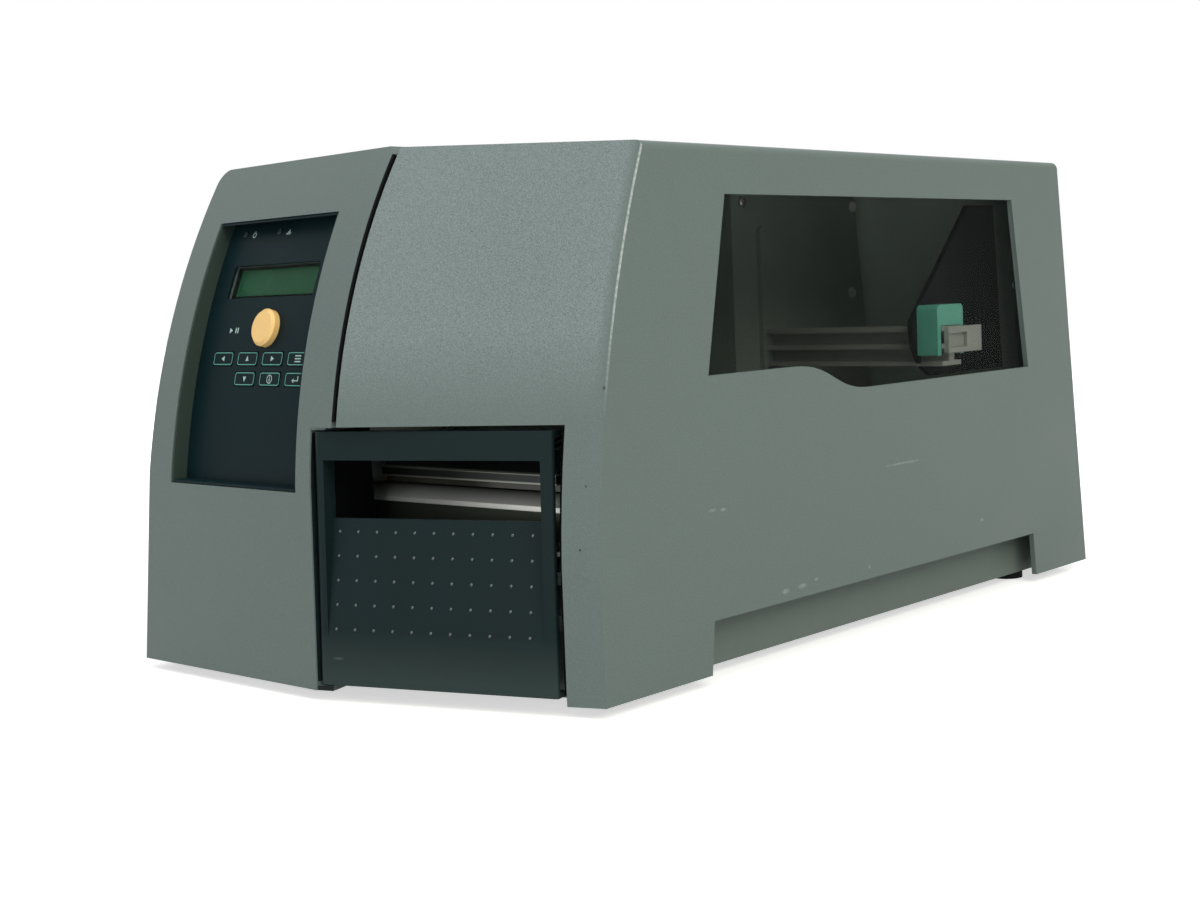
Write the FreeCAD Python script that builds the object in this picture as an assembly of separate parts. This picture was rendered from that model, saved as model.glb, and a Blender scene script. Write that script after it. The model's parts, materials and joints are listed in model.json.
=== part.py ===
import FreeCAD, Part
import math
import os

# Thermal label printer. Millimetres, +X to the right seen from the front, +Y to the rear, +Z up.
# The origin lies on the table under the middle of the casing.

V = FreeCAD.Vector

# Casing
WIDTH = 276.0
LENGTH = 496.0
HEIGHT = 255.0
FOOT_HEIGHT = 5.0
SKIN = 3.0
EDGE_ROUND = 8.0
REAR_LEAN = 31.0
SEAM_X = 13.0
SEAM_GAP = 3.5
SEAM_BEVEL = 4.0
COVER_FRONT = 108.0
COVER_LIP = 2.5
LIP_SETBACK = 0.5

# Clearances, and how far cutting bodies reach past what they cut
FIT_GAP = 0.3
BORE_GAP = 0.05
CUT_OVER = 1.0
CUT_REACH = 20.0

LEFT = -WIDTH / 2
RIGHT = WIDTH / 2
FRONT = -LENGTH / 2
REAR = LENGTH / 2
BOTTOM = FOOT_HEIGHT
JOIN_Y = FRONT + COVER_FRONT
DOOR_LEFT = SEAM_X + SEAM_GAP

# Front profiles at the left edge, the seam and the right corner: setback from the foremost plane
# at the bottom, at the knee, at the middle of the arc and at the top
KNEE_Z = BOTTOM + 95.0
ARC_Z = HEIGHT - 75.0
LEFT_SETBACKS = (0.0, 9.0, 29.5, 66.7)
SEAM_SETBACKS = (0.5, 3.5, 18.5, 54.2)
CORNER_KNEE_Z = BOTTOM + 55.0
CORNER_ARC_Z = HEIGHT - 101.0
CORNER_SETBACKS = (46.0, 46.0, 57.0, 85.0)
CORNER_TOP = HEIGHT - 7.0
SEAM_TOP = HEIGHT - 1.0

# Base
TRAY_FLOOR = 3.0
TRAY_WALL = 3.0
TRAY_RIM = 29.0
TRAY_SIDE_INSET = 14.0
TRAY_FRONT = FRONT + 52.0
FLOOR = BOTTOM + TRAY_FLOOR
FOOT_RADIUS = 9.5
FOOT_X = RIGHT - 26.0
FOOT_FRONT_Y = FRONT + 84.0
FOOT_REAR_Y = REAR - 53.0

# Front door, in its own leaning frame: along the face, into the printer, up
STRIP_LEFT = RIGHT - 17.0
FLAP_TURN = 17.8
FLAP_LEAN = 2.6
FLAP_X = 1.2
FLAP_Y = FRONT + 0.6
FLAP_Z = BOTTOM + 3.2
FLAP_SIDE_GAP = 3.8
FLAP_WIDTH = (STRIP_LEFT - FLAP_X) / math.cos(math.radians(FLAP_TURN)) - FLAP_SIDE_GAP
FLAP_HEIGHT = 116.6
FLAP_DEPTH = 9.5
FLAP_WALL = 2.5
FLAP_EDGE_ROUND = 1.2
FLAP_GAP = 1.8
NOSE_GAP = 0.6
FLAP_PIVOT = 4.0
FLAP_PIN_RADIUS = 1.6
FLAP_PIN_LENGTH = 2.2
PIN_END_GAP = 0.5
EAR_GAP = 0.8
EAR_LEFT = 2.0
EAR_WALL = 1.2
EAR_BACK = 4.0
EAR_ROOF = 3.0
SLOT_LEFT = 5.7
SLOT_RIGHT = FLAP_WIDTH - 6.0
SLOT_LOW = 26.0
SLOT_HIGH = FLAP_HEIGHT - 13.1
CHEEK_WALL = 1.5
CHUTE_FOOT = 4.0
CHUTE_TOP = SLOT_HIGH - 27.0
CHUTE_SETBACK = 6.5
DOOR_HEAD_GAP = 2.2
DOOR_HEAD_Z = FLAP_Z + FLAP_HEIGHT + DOOR_HEAD_GAP

# Print mechanism
EXIT_Z = FLAP_Z + CHUTE_TOP + 10.6
MECHANISM_FRONT = FRONT + 58.0
SHEET = 3.0
PLATEN_RADIUS = 9.0
PLATEN_Y = MECHANISM_FRONT + 12.0
PLATEN_Z = EXIT_Z - PLATEN_RADIUS
PLATEN_END_GAP = 2.0
SHAFT_RADIUS = 4.0
SHAFT_END = 1.0
BEARING_RADIUS = 8.0
BEARING_FLANGE = 1.5
BEARING_LIP = 2.0
FRAME_X = STRIP_LEFT - 3.5
FRAME_REAR = MECHANISM_FRONT + 70.0
FRAME_NOSE = 32.0
FRAME_CORNER = 12.0
FRAME_FOOT_SETBACK = 24.0
FRAME_FOOT_WIDTH = 14.0
GUIDE_PLATE_Z = EXIT_Z - 17.0
GUIDE_PLATE_SHEET = 2.0
GUIDE_PLATE_GAP = 3.0
APRON_HEIGHT = 24.0
TEAR_REACH = 5.5
TEAR_NOSE_Z = EXIT_Z - 4.3
TEAR_NOSE_HEIGHT = 3.8
TEAR_LIP = 1.5
TEAR_LOW = EXIT_Z - 21.0
HEAD_PIVOT_Y = MECHANISM_FRONT + 58.0
HEAD_PIVOT_Z = EXIT_Z + 21.0
HEAD_GAP = 0.5
HEAD_THICK = 3.0
HEAD_LENGTH = 116.0
HEAD_DEPTH = 20.0
HEAD_SETBACK = 1.0
HEAD_BAR_OVER = 3.0
HEAD_BAR_HEIGHT = 5.4
HEAD_BAR_CHAMFER = 1.0
HEAD_WEB = 6.0
HEAD_CROWN = 14.0
HEAD_CROWN_SETBACK = 16.0
HEAD_SLOT_COUNT = 12
HEAD_SLOT_PITCH = 8.5
HEAD_SLOT_INSET = 8.5
HEAD_SLOT_WIDTH = 5.5
HEAD_SLOT_DEPTH = 5.0
HEAD_SLOT_LENGTH = 24.0
EYE_WALL = 4.0
EYE_LENGTH = 8.0
FRAME_TOP = HEAD_PIVOT_Z + 6.0
LEVER_Y = MECHANISM_FRONT + 40.0
LEVER_Z = EXIT_Z + 9.0
LEVER_REACH = 46.0
LEVER_LEAN = 16.0
LEVER_THICK = 4.0
LEVER_PIN = 3.0
LEVER_HUB = 8.0
LEVER_ROOT = 6.0
LEVER_TIP = 5.0
LEVER_GRIP = 6.0
LEVER_GRIP_REACH = 4.0
LEVER_GAP = 0.5
SENSOR_X = 20.0
SENSOR_WIDTH = 32.0
SENSOR_DEPTH = 14.0
SENSOR_HEIGHT = 9.0
SENSOR_SETBACK = 8.0
ROD_Y = MECHANISM_FRONT + 64.0
ROD_Z = GUIDE_PLATE_Z - 12.0
ROD_ROOM = 8.0
GUIDE_ROD_RADIUS = 4.0
GUIDE_HUB_WALL = 3.0
GUIDE_LENGTH = 14.0
GUIDE_END_GAP = 3.5
FIN_SHEET = 3.0
FIN_HEIGHT = 30.0
FIN_HALF = 5.0
FIN_LEAN = 1.0

# Center wall, between the electronics and the media side
WALL_X = -24.0
WALL_TOP = HEIGHT - 12.0
WALL_STEP = 44.0
WALL_STEP_RISE = 22.0
WALL_FLANGE = 22.0
WALL_FOOT_LENGTH = 187.0
BEHIND_FLAP = 42.0

# Keypad recess in the console
RECESS_LEFT = LEFT + 20.0
RECESS_RIGHT = SEAM_X - 26.0
RECESS_LOW = BOTTOM + 91.0
RECESS_HIGH = HEIGHT - 29.0
RECESS_DEPTH = 10.0
PANEL_SHEET = 1.5
PANEL_RIM = 1.2
PANEL_RIM_DROP = 0.6
GLUE = 0.1
PAN_WALL = 2.5
HOLE_REACH = 30.0
DISPLAY_X = RECESS_LEFT + 53.0
DISPLAY_Z = RECESS_HIGH - 31.2
DISPLAY_WIDTH = 75.0
DISPLAY_HEIGHT = 17.0
DISPLAY_SINK = 1.0
DISPLAY_SHEET = 1.5
MODULE_WALL = 0.6
MODULE_WELL = 3.0
MODULE_DEPTH = 3.0
FEED_X = RECESS_LEFT + 58.7
FEED_Z = RECESS_HIGH - 54.6
FEED_RADIUS = 9.4
FEED_PROUD = 4.0
FEED_EDGE = 1.4
FEED_RIM = 1.4
FEED_RIM_SHEET = 1.5
KEY_MIDDLE_X = RECESS_LEFT + 56.5
KEY_PITCH = 21.6
KEY_WIDTH = 17.2
KEY_HEIGHT = 6.9
KEY_CORNER = 1.2
KEY_PROUD = 0.25
KEY_ROW_1 = RECESS_HIGH - 69.1
KEY_ROW_2 = KEY_ROW_1 - 9.7
KEY_COLUMNS = [KEY_MIDDLE_X + KEY_PITCH * step for step in (-1.5, -0.5, 0.5, 1.5)]
KEY_PLACES = {
    "key_left": (KEY_COLUMNS[0], KEY_ROW_1),
    "key_up": (KEY_COLUMNS[1], KEY_ROW_1),
    "key_right": (KEY_COLUMNS[2], KEY_ROW_1),
    "key_setup": (KEY_COLUMNS[3], KEY_ROW_1),
    "key_down": (KEY_COLUMNS[1], KEY_ROW_2),
    "key_info": (KEY_COLUMNS[2], KEY_ROW_2),
    "key_enter": (KEY_COLUMNS[3], KEY_ROW_2),
}
INDICATOR_PLACES = {"indicator_power": RECESS_LEFT + 16.0, "indicator_status": RECESS_LEFT + 47.0}
INDICATOR_Z = RECESS_HIGH - 7.2
INDICATOR_RADIUS = 1.6
INDICATOR_PROUD = 0.3
BOARD_DEPTH = 24.0
BOARD_SHEET = 1.6
BOARD_MARGIN = 4.0
BOARD_HEIGHT = 74.0
PILLAR_HALF = 2.5
PILLAR_INSET = 8.0

# Side door hinge
HINGE_X = SEAM_X + 5.0
HINGE_RADIUS = 3.5
HINGE_Z = SEAM_TOP - HINGE_RADIUS
ROD_RADIUS = 1.5
LUG_LENGTH = 12.0
LUG_PLACES = (FRONT + 138.0, REAR - 118.0)
LUG_SHRINK = 0.2
LUG_SIDE_GAP = 0.5
LUG_ROOM = 7.0
LUG_DROP = 8.0
RAIL_SHEET = 2.5
RAIL_RIGHT = SEAM_X - 3.0
RAIL_FRONT = LUG_PLACES[0] - 48.0
RAIL_REAR = LUG_PLACES[1] + 24.0
ARM_ROOT = 5.0
ARM_FOOT = 3.0
ARM_LOW = (2.4, -2.2)
ARM_HIGH = (-1.2, 2.9)
ROD_FRONT = LUG_PLACES[0] - 40.0
ROD_REAR = LUG_PLACES[1] + 60.0
NOSE_FRONT_GAP = 8.0
NOSE_REAR_GAP = 4.0

# Side door: its window and the cut-out under its wall
DOOR_EDGE_ROUND = 4.0
DOOR_OPENING_DEPTH = 90.0
WINDOW_TOP = HEIGHT - 29.6
WINDOW_FRONT_TOP = FRONT + 141.2
WINDOW_FRONT_LOW = FRONT + 124.6
WINDOW_REAR_TOP = REAR - 86.2
WINDOW_REAR_LOW = REAR - 69.6
WINDOW_LOW_FRONT = WINDOW_TOP - 82.4
WINDOW_LOW_REAR = WINDOW_TOP - 96.6
WAVE_CREST_Y = WINDOW_FRONT_LOW + 68.4
WAVE_LOW_Y = WAVE_CREST_Y + 65.0
WINDOW_SHEET = 2.0
WINDOW_MARGIN = 6.0
RIB_PLACES = (FRONT + 160.0, FRONT + 240.0, FRONT + 320.0, FRONT + 400.0)
RIB_SHEET = 2.5
RIB_REACH = 5.0
RIB_LOW = BOTTOM + 32.0
RIB_TOP = WINDOW_LOW_REAR - 10.0
CUTOUT_FRONT = FRONT + 120.0
CUTOUT_REAR = REAR - 64.0
CUTOUT_HEIGHT = 25.0
CUTOUT_SLOPE = 3.0

# Drive
PULLEY_X = WALL_X - 20.0
PULLEY_WIDTH = 10.0
PULLEY_FLANGE = 1.2
PULLEY_RIM = 2.5
PLATEN_PULLEY_RADIUS = 16.0
MOTOR_PULLEY_RADIUS = 8.0
MOTOR_Y = PLATEN_Y + 52.0
MOTOR_Z = FLOOR + 48.0
MOTOR_SIZE = 56.0
MOTOR_LENGTH = 50.0
MOTOR_CHAMFER = 5.0
MOTOR_MARGIN = 4.0
MOTOR_SHAFT_RADIUS = 3.0
MOTOR_SHAFT_DEPTH = 18.0
MOTOR_BOSS_RADIUS = 9.0
MOTOR_PLATE_X = PULLEY_X - 10.0
BELT_SHEET = 1.5

# Rear panel, in its own leaning frame: across, outwards, up; openings as x, z, width, height
PANEL_INSET = 12.0
REAR_SHEET = 2.0
REAR_SIDE_GAP = 1.5
INLET = (LEFT + 38.0, 40.0, 28.0, 24.0)
INLET_DEPTH = 20.0
INLET_RIM = 3.0
INLET_HOLLOW = 14.0
SWITCH = (LEFT + 76.0, 40.0, 15.0, 25.0)
SWITCH_DEPTH = 16.0
SWITCH_RIM = 2.0
SWITCH_HOLLOW = 12.0
INSERT_WALL = 2.5
INSERT_FLANGE = 2.0
ROCKER_FACE = 1.5
ROCKER_PIVOT = 2.0
ROCKER_AXLE = 1.5
ROCKER_SIDE_GAP = 0.7
ROCKER_END_GAP = 1.7
ROCKER_DIP = 2.2
ROCKER_RISE = 3.2
ROCKER_EDGE = 1.7
ROCKER_ROOT = 6.0
ROCKER_ROOT_HALF = 5.0
PORT_X = LEFT + 56.0
PARALLEL = (PORT_X, 84.0, 54.0, 12.0)
SERIAL = (PORT_X, 108.0, 31.0, 12.0)
PORT_DEPTH = 12.0
PORT_RIM = 3.0
PORT_FLANGE = 1.2
PORT_SHELL = 6.0
PORT_SHELL_INSET = 1.5
VENT_COUNT = 8
VENT_PITCH = 9.0
VENT_HEIGHT = 3.5
VENT_WIDTH = 84.0
VENT_LOW = 132.0

# Electronics
MAIN_BOARD_FRONT = REAR - 288.0
MAIN_BOARD_LENGTH = 230.0
MAIN_BOARD_LOW = FLOOR + 92.0
MAIN_BOARD_HEIGHT = 110.0
STANDOFF = 6.0
STANDOFF_INSET = 10.0
SUPPLY_BOX_X = LEFT + 12.0
SUPPLY_BOX_WIDTH = 62.0
SUPPLY_BOX_FRONT = REAR - 208.0
SUPPLY_BOX_LENGTH = 150.0
SUPPLY_BOX_HEIGHT = 62.0
SUPPLY_BOX_SHEET = 1.5

# Media supply
SUPPLY_FACE_X = 5.0
POST_Y = REAR - 139.0
SUPPLY_FRONT = POST_Y - 37.0
SUPPLY_LOW = FLOOR + 22.0
SUPPLY_TOP = HEIGHT - 17.0
SUPPLY_REAR_GAP = 4.0
BRACKET_SHEET = 3.0
BRACKET_MARGIN = 3.0
BRACKET_DROP = 4.0
BRACKET_HEIGHT = 88.0
BRACKET_CORNER = 4.0
POST_LOW = WINDOW_LOW_REAR + 5.2
POST_HEIGHT = 22.0
POST_WIDTH = 20.0
POST_RIB = 2.6
POST_END_X = RIGHT - 10.0
TAB_THICK = 3.0
TAB_FRONT = 2.0
TAB_WIDTH = 36.0
TAB_LOW = 7.0
TAB_HEIGHT = 14.5
TAB_SHEET = 1.0
TAB_HOLLOW_WIDTH = 18.0
TAB_HOLLOW_HEIGHT = 8.0
TAB_HOLLOW_FRONT = 2.0
TAB_HOLLOW_LOW = 3.0
RETAINER_LENGTH = 13.0
RETAINER_X = POST_END_X - 0.5 - RETAINER_LENGTH
RETAINER_WALL = 3.5
RETAINER_RISE = 12.0
RETAINER_SKIRT = 6.0
RETAINER_CORNER = 3.0
WING_SHEET = 3.5
WING_NOSE = (-18.0, 26.0)
WING_BELLY = (-15.0, 8.0)
WING_HEEL = (2.0, -6.0)
WING_TIP = (46.0, 90.0)
WING_BACK = (74.0, 90.0)
WING_TAIL = (82.0, -6.0)

# Catch of the front door
CATCH_RIGHT = STRIP_LEFT - 11.0
CATCH_SHEET = 3.0
CATCH_DEPTH = 12.0
CATCH_HEIGHT = 44.0
CATCH_FOOT = 9.0
CATCH_FOOT_SHEET = 2.0
MAGNET_WIDTH = 6.0
MAGNET_FRONT = 1.0
MAGNET_DEPTH = 7.0
MAGNET_LOW = 34.0
MAGNET_HEIGHT = 12.0


def box(x0, x1, y0, y1, z0, z1):
    return Part.makeBox(x1 - x0, y1 - y0, z1 - z0, V(x0, y0, z0))


def rod(radius, start, end):
    span = end - start
    return Part.makeCylinder(radius, span.Length, start, span)


def rod_x(radius, x0, x1, y, z):
    return rod(radius, V(x0, y, z), V(x1, y, z))


def ring_x(outer, inner, x0, x1, y, z):
    return rod_x(outer, x0, x1, y, z).cut(rod_x(inner, x0 - CUT_OVER, x1 + CUT_OVER, y, z))


def prism(points, direction):
    wire = Part.makePolygon(points + [points[0]])
    return Part.Face(wire).extrude(direction)


def prism_x(points, x0, x1):
    return prism([V(x0, y, z) for y, z in points], V(x1 - x0, 0, 0))


def prism_y(points, y0, y1):
    return prism([V(x, y0, z) for x, z in points], V(0, y1 - y0, 0))


def rounded_edges(shape, radius, chosen):
    return shape.makeFillet(radius, [edge for edge in shape.Edges if chosen(edge.CenterOfMass)])


def near(a, b):
    return abs(a - b) < 0.1


def placed(shape, placement):
    copy = shape.copy()
    copy.Placement = placement.multiply(copy.Placement)
    return copy


def centred_box(width, depth0, depth1, height):
    return box(-width / 2, width / 2, depth0, depth1, -height / 2, height / 2)


def rear_y(z, inset=0.0):
    return REAR - inset - REAR_LEAN * (z - BOTTOM) / (HEIGHT - BOTTOM)


# Front faces. A profile is four (y, z) points: a straight foot up to the knee, then one arc.
def profile(setbacks, knee_z, arc_z, top_z):
    heights = (BOTTOM, knee_z, arc_z, top_z)
    return [(FRONT + setback, z) for setback, z in zip(setbacks, heights)]


LEFT_PROFILE = profile(LEFT_SETBACKS, KNEE_Z, ARC_Z, HEIGHT)
SEAM_PROFILE = profile(SEAM_SETBACKS, KNEE_Z, ARC_Z, HEIGHT)
DOOR_SEAM_PROFILE = profile(SEAM_SETBACKS, KNEE_Z, ARC_Z, SEAM_TOP)
CORNER_PROFILE = profile(CORNER_SETBACKS, CORNER_KNEE_Z, CORNER_ARC_Z, CORNER_TOP)


def section(x, points, inset, back_low, back_high, low, drop):
    foot, knee, arc, top = [V(x, y + inset, z) for y, z in points]
    top.z -= drop
    foot.z = low
    rear_high = V(x, back_high, top.z)
    rear_low = V(x, back_low, low)
    edges = [
        Part.LineSegment(foot, knee),
        Part.Arc(knee, arc, top),
        Part.LineSegment(top, rear_high),
        Part.LineSegment(rear_high, rear_low),
        Part.LineSegment(rear_low, foot),
    ]
    return Part.Wire([edge.toShape() for edge in edges])


def between(first, second, share):
    return [(a[0] + (b[0] - a[0]) * share, a[1] + (b[1] - a[1]) * share) for a, b in zip(first, second)]


def console_block(inset, left_inset=0.0, right_inset=0.0, back=JOIN_Y, low=BOTTOM, drop=0.0):
    span = SEAM_X - LEFT
    wires = []
    for x in (LEFT + left_inset, SEAM_X - right_inset):
        points = between(LEFT_PROFILE, SEAM_PROFILE, (x - LEFT) / span)
        wires.append(section(x, points, inset, back, back, low, drop))
    return Part.makeLoft(wires, True, True)


def arc_y(points, z):
    knee, arc, top = [V(0, y, height) for y, height in points[1:]]
    circle = Part.Arc(knee, arc, top).toShape().Curve
    return circle.Center.y - math.sqrt(circle.Radius ** 2 - (z - circle.Center.z) ** 2)


def console_y(x, z):
    share = (x - LEFT) / (SEAM_X - LEFT)
    return arc_y(LEFT_PROFILE, z) * (1 - share) + arc_y(SEAM_PROFILE, z) * share


# A frame on the console's face: across, inwards, up along the face
def console_frame(x, z, depth):
    step = 1.0
    across = V(2 * step, console_y(x + step, z) - console_y(x - step, z), 0)
    upward = V(0, console_y(x, z + step) - console_y(x, z - step), 2 * step)
    inward = upward.cross(across)
    turn = FreeCAD.Rotation(across, inward, upward, "YXZ")
    return FreeCAD.Placement(V(x, console_y(x, z) + depth, z), turn)


# Base tray and feet
def base_tray():
    left = LEFT + SKIN
    right = RIGHT - TRAY_SIDE_INSET
    rim_rear = rear_y(BOTTOM + TRAY_RIM, PANEL_INSET + REAR_SHEET)
    tray = box(left, right, TRAY_FRONT, rim_rear, BOTTOM, BOTTOM + TRAY_RIM)
    inner = box(left + TRAY_WALL, right - TRAY_WALL, TRAY_FRONT + TRAY_WALL, REAR, FLOOR, HEIGHT)
    sill = box(left, right, rim_rear, rear_y(BOTTOM, PANEL_INSET) + TRAY_WALL, BOTTOM, FLOOR)
    return tray.cut(inner).fuse(sill).removeSplitter()


def rubber_foot(x, y):
    return rod(FOOT_RADIUS, V(x, y, 0), V(x, y, FOOT_HEIGHT))


# Center wall: a folded sheet that carries the mechanism, the supply post and the door hinge
def center_wall():
    rear_inset = PANEL_INSET + REAR_SHEET + FIT_GAP
    step_y = MECHANISM_FRONT + WALL_STEP
    outline = [
        (MECHANISM_FRONT, FLOOR),
        (rear_y(FLOOR, rear_inset), FLOOR),
        (rear_y(WALL_TOP, rear_inset), WALL_TOP),
        (step_y, WALL_TOP),
        (step_y, FRAME_TOP + WALL_STEP_RISE),
        (MECHANISM_FRONT, FRAME_TOP),
    ]
    sheet = prism_x(outline, WALL_X - SHEET, WALL_X)
    top = box(WALL_X - SHEET, WALL_X + WALL_FLANGE, step_y, rear_y(WALL_TOP, rear_inset),
              WALL_TOP - SHEET, WALL_TOP)
    foot_front = MECHANISM_FRONT + SHEET
    foot = box(WALL_X - WALL_FLANGE, WALL_X, foot_front, foot_front + WALL_FOOT_LENGTH, FLOOR, FLOOR + SHEET)
    bore = rod_x(BEARING_RADIUS, WALL_X - SHEET - CUT_OVER, WALL_X + CUT_OVER, PLATEN_Y, PLATEN_Z)
    return sheet.fuse(top).fuse(foot).cut(bore).removeSplitter()


def hinge_rail():
    rail_top = WALL_TOP + RAIL_SHEET
    rail = box(WALL_X - SHEET, RAIL_RIGHT, RAIL_FRONT, RAIL_REAR, WALL_TOP, rail_top)
    for y in LUG_PLACES:
        y0 = y - LUG_LENGTH / 2
        arm = prism_y([
            (RAIL_RIGHT - ARM_ROOT, WALL_TOP), (RAIL_RIGHT + ARM_FOOT, WALL_TOP),
            (HINGE_X + ARM_LOW[0], HINGE_Z + ARM_LOW[1]), (HINGE_X + ARM_HIGH[0], HINGE_Z + ARM_HIGH[1]),
            (RAIL_RIGHT, rail_top), (RAIL_RIGHT - ARM_ROOT, rail_top)], y0, y0 + LUG_LENGTH)
        eye = rod(HINGE_RADIUS - LUG_SHRINK, V(HINGE_X, y0, HINGE_Z), V(HINGE_X, y0 + LUG_LENGTH, HINGE_Z))
        rail = rail.fuse(arm).fuse(eye)
    return rail.cut(hinge_line(ROD_RADIUS)).removeSplitter()


def hinge_line(radius, over=0.0):
    return rod(radius, V(HINGE_X, ROD_FRONT - over, HINGE_Z), V(HINGE_X, ROD_REAR + over, HINGE_Z))


# Covers
def seam_bevel(y0, y1):
    start = SEAM_X - SEAM_BEVEL
    side = SEAM_X + CUT_OVER
    low = HEIGHT - SEAM_BEVEL
    above = HEIGHT + CUT_OVER
    return prism_y([(start, above), (start, HEIGHT), (SEAM_X, low), (side, low), (side, above)], y0, y1)


def cover_box(inset, over):
    outer = box(LEFT + inset, SEAM_X + over, JOIN_Y - over, REAR + over, BOTTOM - over, HEIGHT - inset)
    return rounded_edges(outer, EDGE_ROUND - inset,
                         lambda p: near(p.x, LEFT + inset) and near(p.z, HEIGHT - inset))


def left_cover():
    lip_x = SEAM_X - LIP_SETBACK
    lip = box(lip_x - SKIN, lip_x, JOIN_Y, REAR, HEIGHT - SKIN - COVER_LIP, HEIGHT - SKIN)
    low = BOTTOM - CUT_OVER
    high = HEIGHT + CUT_OVER
    far = REAR + 2 * CUT_OVER
    behind = prism_x([(rear_y(low), low), (rear_y(high), high), (far, high), (far, low)],
                     LEFT - CUT_OVER, RIGHT + CUT_OVER)
    cover = cover_box(0.0, 0.0).cut(cover_box(SKIN, CUT_OVER)).fuse(lip).cut(behind)
    return cover.cut(seam_bevel(JOIN_Y - CUT_OVER, REAR + CUT_OVER)).removeSplitter()


# The place of the front door in the console
def notch(grow):
    low = BOTTOM - CUT_OVER
    head = FLAP_Z + FLAP_HEIGHT + FLAP_GAP + grow
    foot, crown = [FLAP_FRAME.multVec(V(FLAP_PIVOT, FLAP_PIVOT, z)) for z in (0, FLAP_HEIGHT)]
    lean = (crown.x - foot.x) / (crown.z - foot.z)
    side = foot.x - FLAP_PIVOT - NOSE_GAP - grow
    return prism_y([(side + lean * (low - foot.z), low), (RIGHT, low), (RIGHT, head),
                    (side + lean * (head - foot.z), head)], FRONT - CUT_REACH, REAR)


def recess_box(grow):
    return box(RECESS_LEFT - grow, RECESS_RIGHT + grow, FRONT - CUT_REACH, JOIN_Y,
               RECESS_LOW - grow, RECESS_HIGH + grow)


def panel_holes():
    start = CUT_OVER - RECESS_DEPTH
    slots = [(DISPLAY_X, DISPLAY_Z, DISPLAY_WIDTH, DISPLAY_HEIGHT)]
    slots += [(x, z, KEY_WIDTH, KEY_HEIGHT) for x, z in KEY_PLACES.values()]
    rounds = [(FEED_X, FEED_Z, FEED_RADIUS)]
    rounds += [(x, INDICATOR_Z, INDICATOR_RADIUS) for x in INDICATOR_PLACES.values()]
    holes = []
    for x, z, width, height in slots:
        hole = centred_box(width + 2 * FIT_GAP, start, HOLE_REACH, height + 2 * FIT_GAP)
        holes.append(placed(hole, console_frame(x, z, RECESS_DEPTH)))
    for x, z, radius in rounds:
        hole = rod(radius + FIT_GAP, V(0, start, 0), V(0, HOLE_REACH, 0))
        holes.append(placed(hole, console_frame(x, z, RECESS_DEPTH)))
    return holes


def front_console():
    back = JOIN_Y + CUT_OVER
    low = BOTTOM - CUT_OVER
    outer = console_block(0.0)
    outer = rounded_edges(outer, EDGE_ROUND, lambda p: near(p.x, LEFT) and near(p.z, HEIGHT))
    wall_back = FRONT + BEHIND_FLAP
    walls = box(SEAM_X - SKIN, RIGHT, FRONT - CUT_REACH, wall_back, low - CUT_OVER, HEIGHT).fuse(
        notch(SKIN).common(box(LEFT, RIGHT, FRONT - CUT_REACH, wall_back, low - CUT_OVER, HEIGHT)))
    cavity = console_block(SKIN, SKIN, -CUT_OVER, back, low, SKIN).cut(walls)
    pan = recess_box(PAN_WALL).common(console_block(0.0).cut(console_block(RECESS_DEPTH + PAN_WALL)))
    pocket = recess_box(0.0).cut(console_block(RECESS_DEPTH))
    shell = outer.cut(notch(0.0)).cut(cavity)
    shell = shell.fuse(pan).cut(pocket).cut(seam_bevel(FRONT, back))
    for hole in panel_holes():
        shell = shell.cut(hole)
    for ear in flap_ears():
        shell = shell.fuse(ear)
    pin_bore = flap_axis(FLAP_PIN_RADIUS + BORE_GAP, EAR_GAP + FLAP_PIN_LENGTH + PIN_END_GAP)
    return shell.cut(placed(pin_bore, FLAP_FRAME)).removeSplitter()


def keypad_panel():
    front = console_block(RECESS_DEPTH - PANEL_SHEET)
    back = console_block(RECESS_DEPTH - GLUE)
    sheet = recess_box(-FIT_GAP).common(front.cut(back))
    rim = recess_box(-FIT_GAP).cut(recess_box(-FIT_GAP - PANEL_RIM))
    sheet = sheet.fuse(rim.common(console_block(PANEL_RIM_DROP).cut(back)))
    for hole in panel_holes():
        sheet = sheet.cut(hole)
    return sheet.removeSplitter()


DISPLAY_FACE = DISPLAY_SINK - PANEL_SHEET
DISPLAY_BACK = DISPLAY_FACE + DISPLAY_SHEET


def display_window():
    window = centred_box(DISPLAY_WIDTH, DISPLAY_FACE, DISPLAY_BACK, DISPLAY_HEIGHT)
    return placed(window, console_frame(DISPLAY_X, DISPLAY_Z, RECESS_DEPTH))


def lcd_module():
    floor = DISPLAY_BACK + MODULE_WELL
    module = centred_box(DISPLAY_WIDTH, DISPLAY_BACK, floor + MODULE_DEPTH, DISPLAY_HEIGHT)
    well = centred_box(DISPLAY_WIDTH - 2 * MODULE_WALL, DISPLAY_BACK - CUT_OVER, floor,
                       DISPLAY_HEIGHT - 2 * MODULE_WALL)
    return placed(module.cut(well), console_frame(DISPLAY_X, DISPLAY_Z, RECESS_DEPTH))


def indicator(x):
    lens = rod(INDICATOR_RADIUS, V(0, -PANEL_SHEET - INDICATOR_PROUD, 0), V(0, PAN_WALL, 0))
    return placed(lens, console_frame(x, INDICATOR_Z, RECESS_DEPTH))


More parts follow.
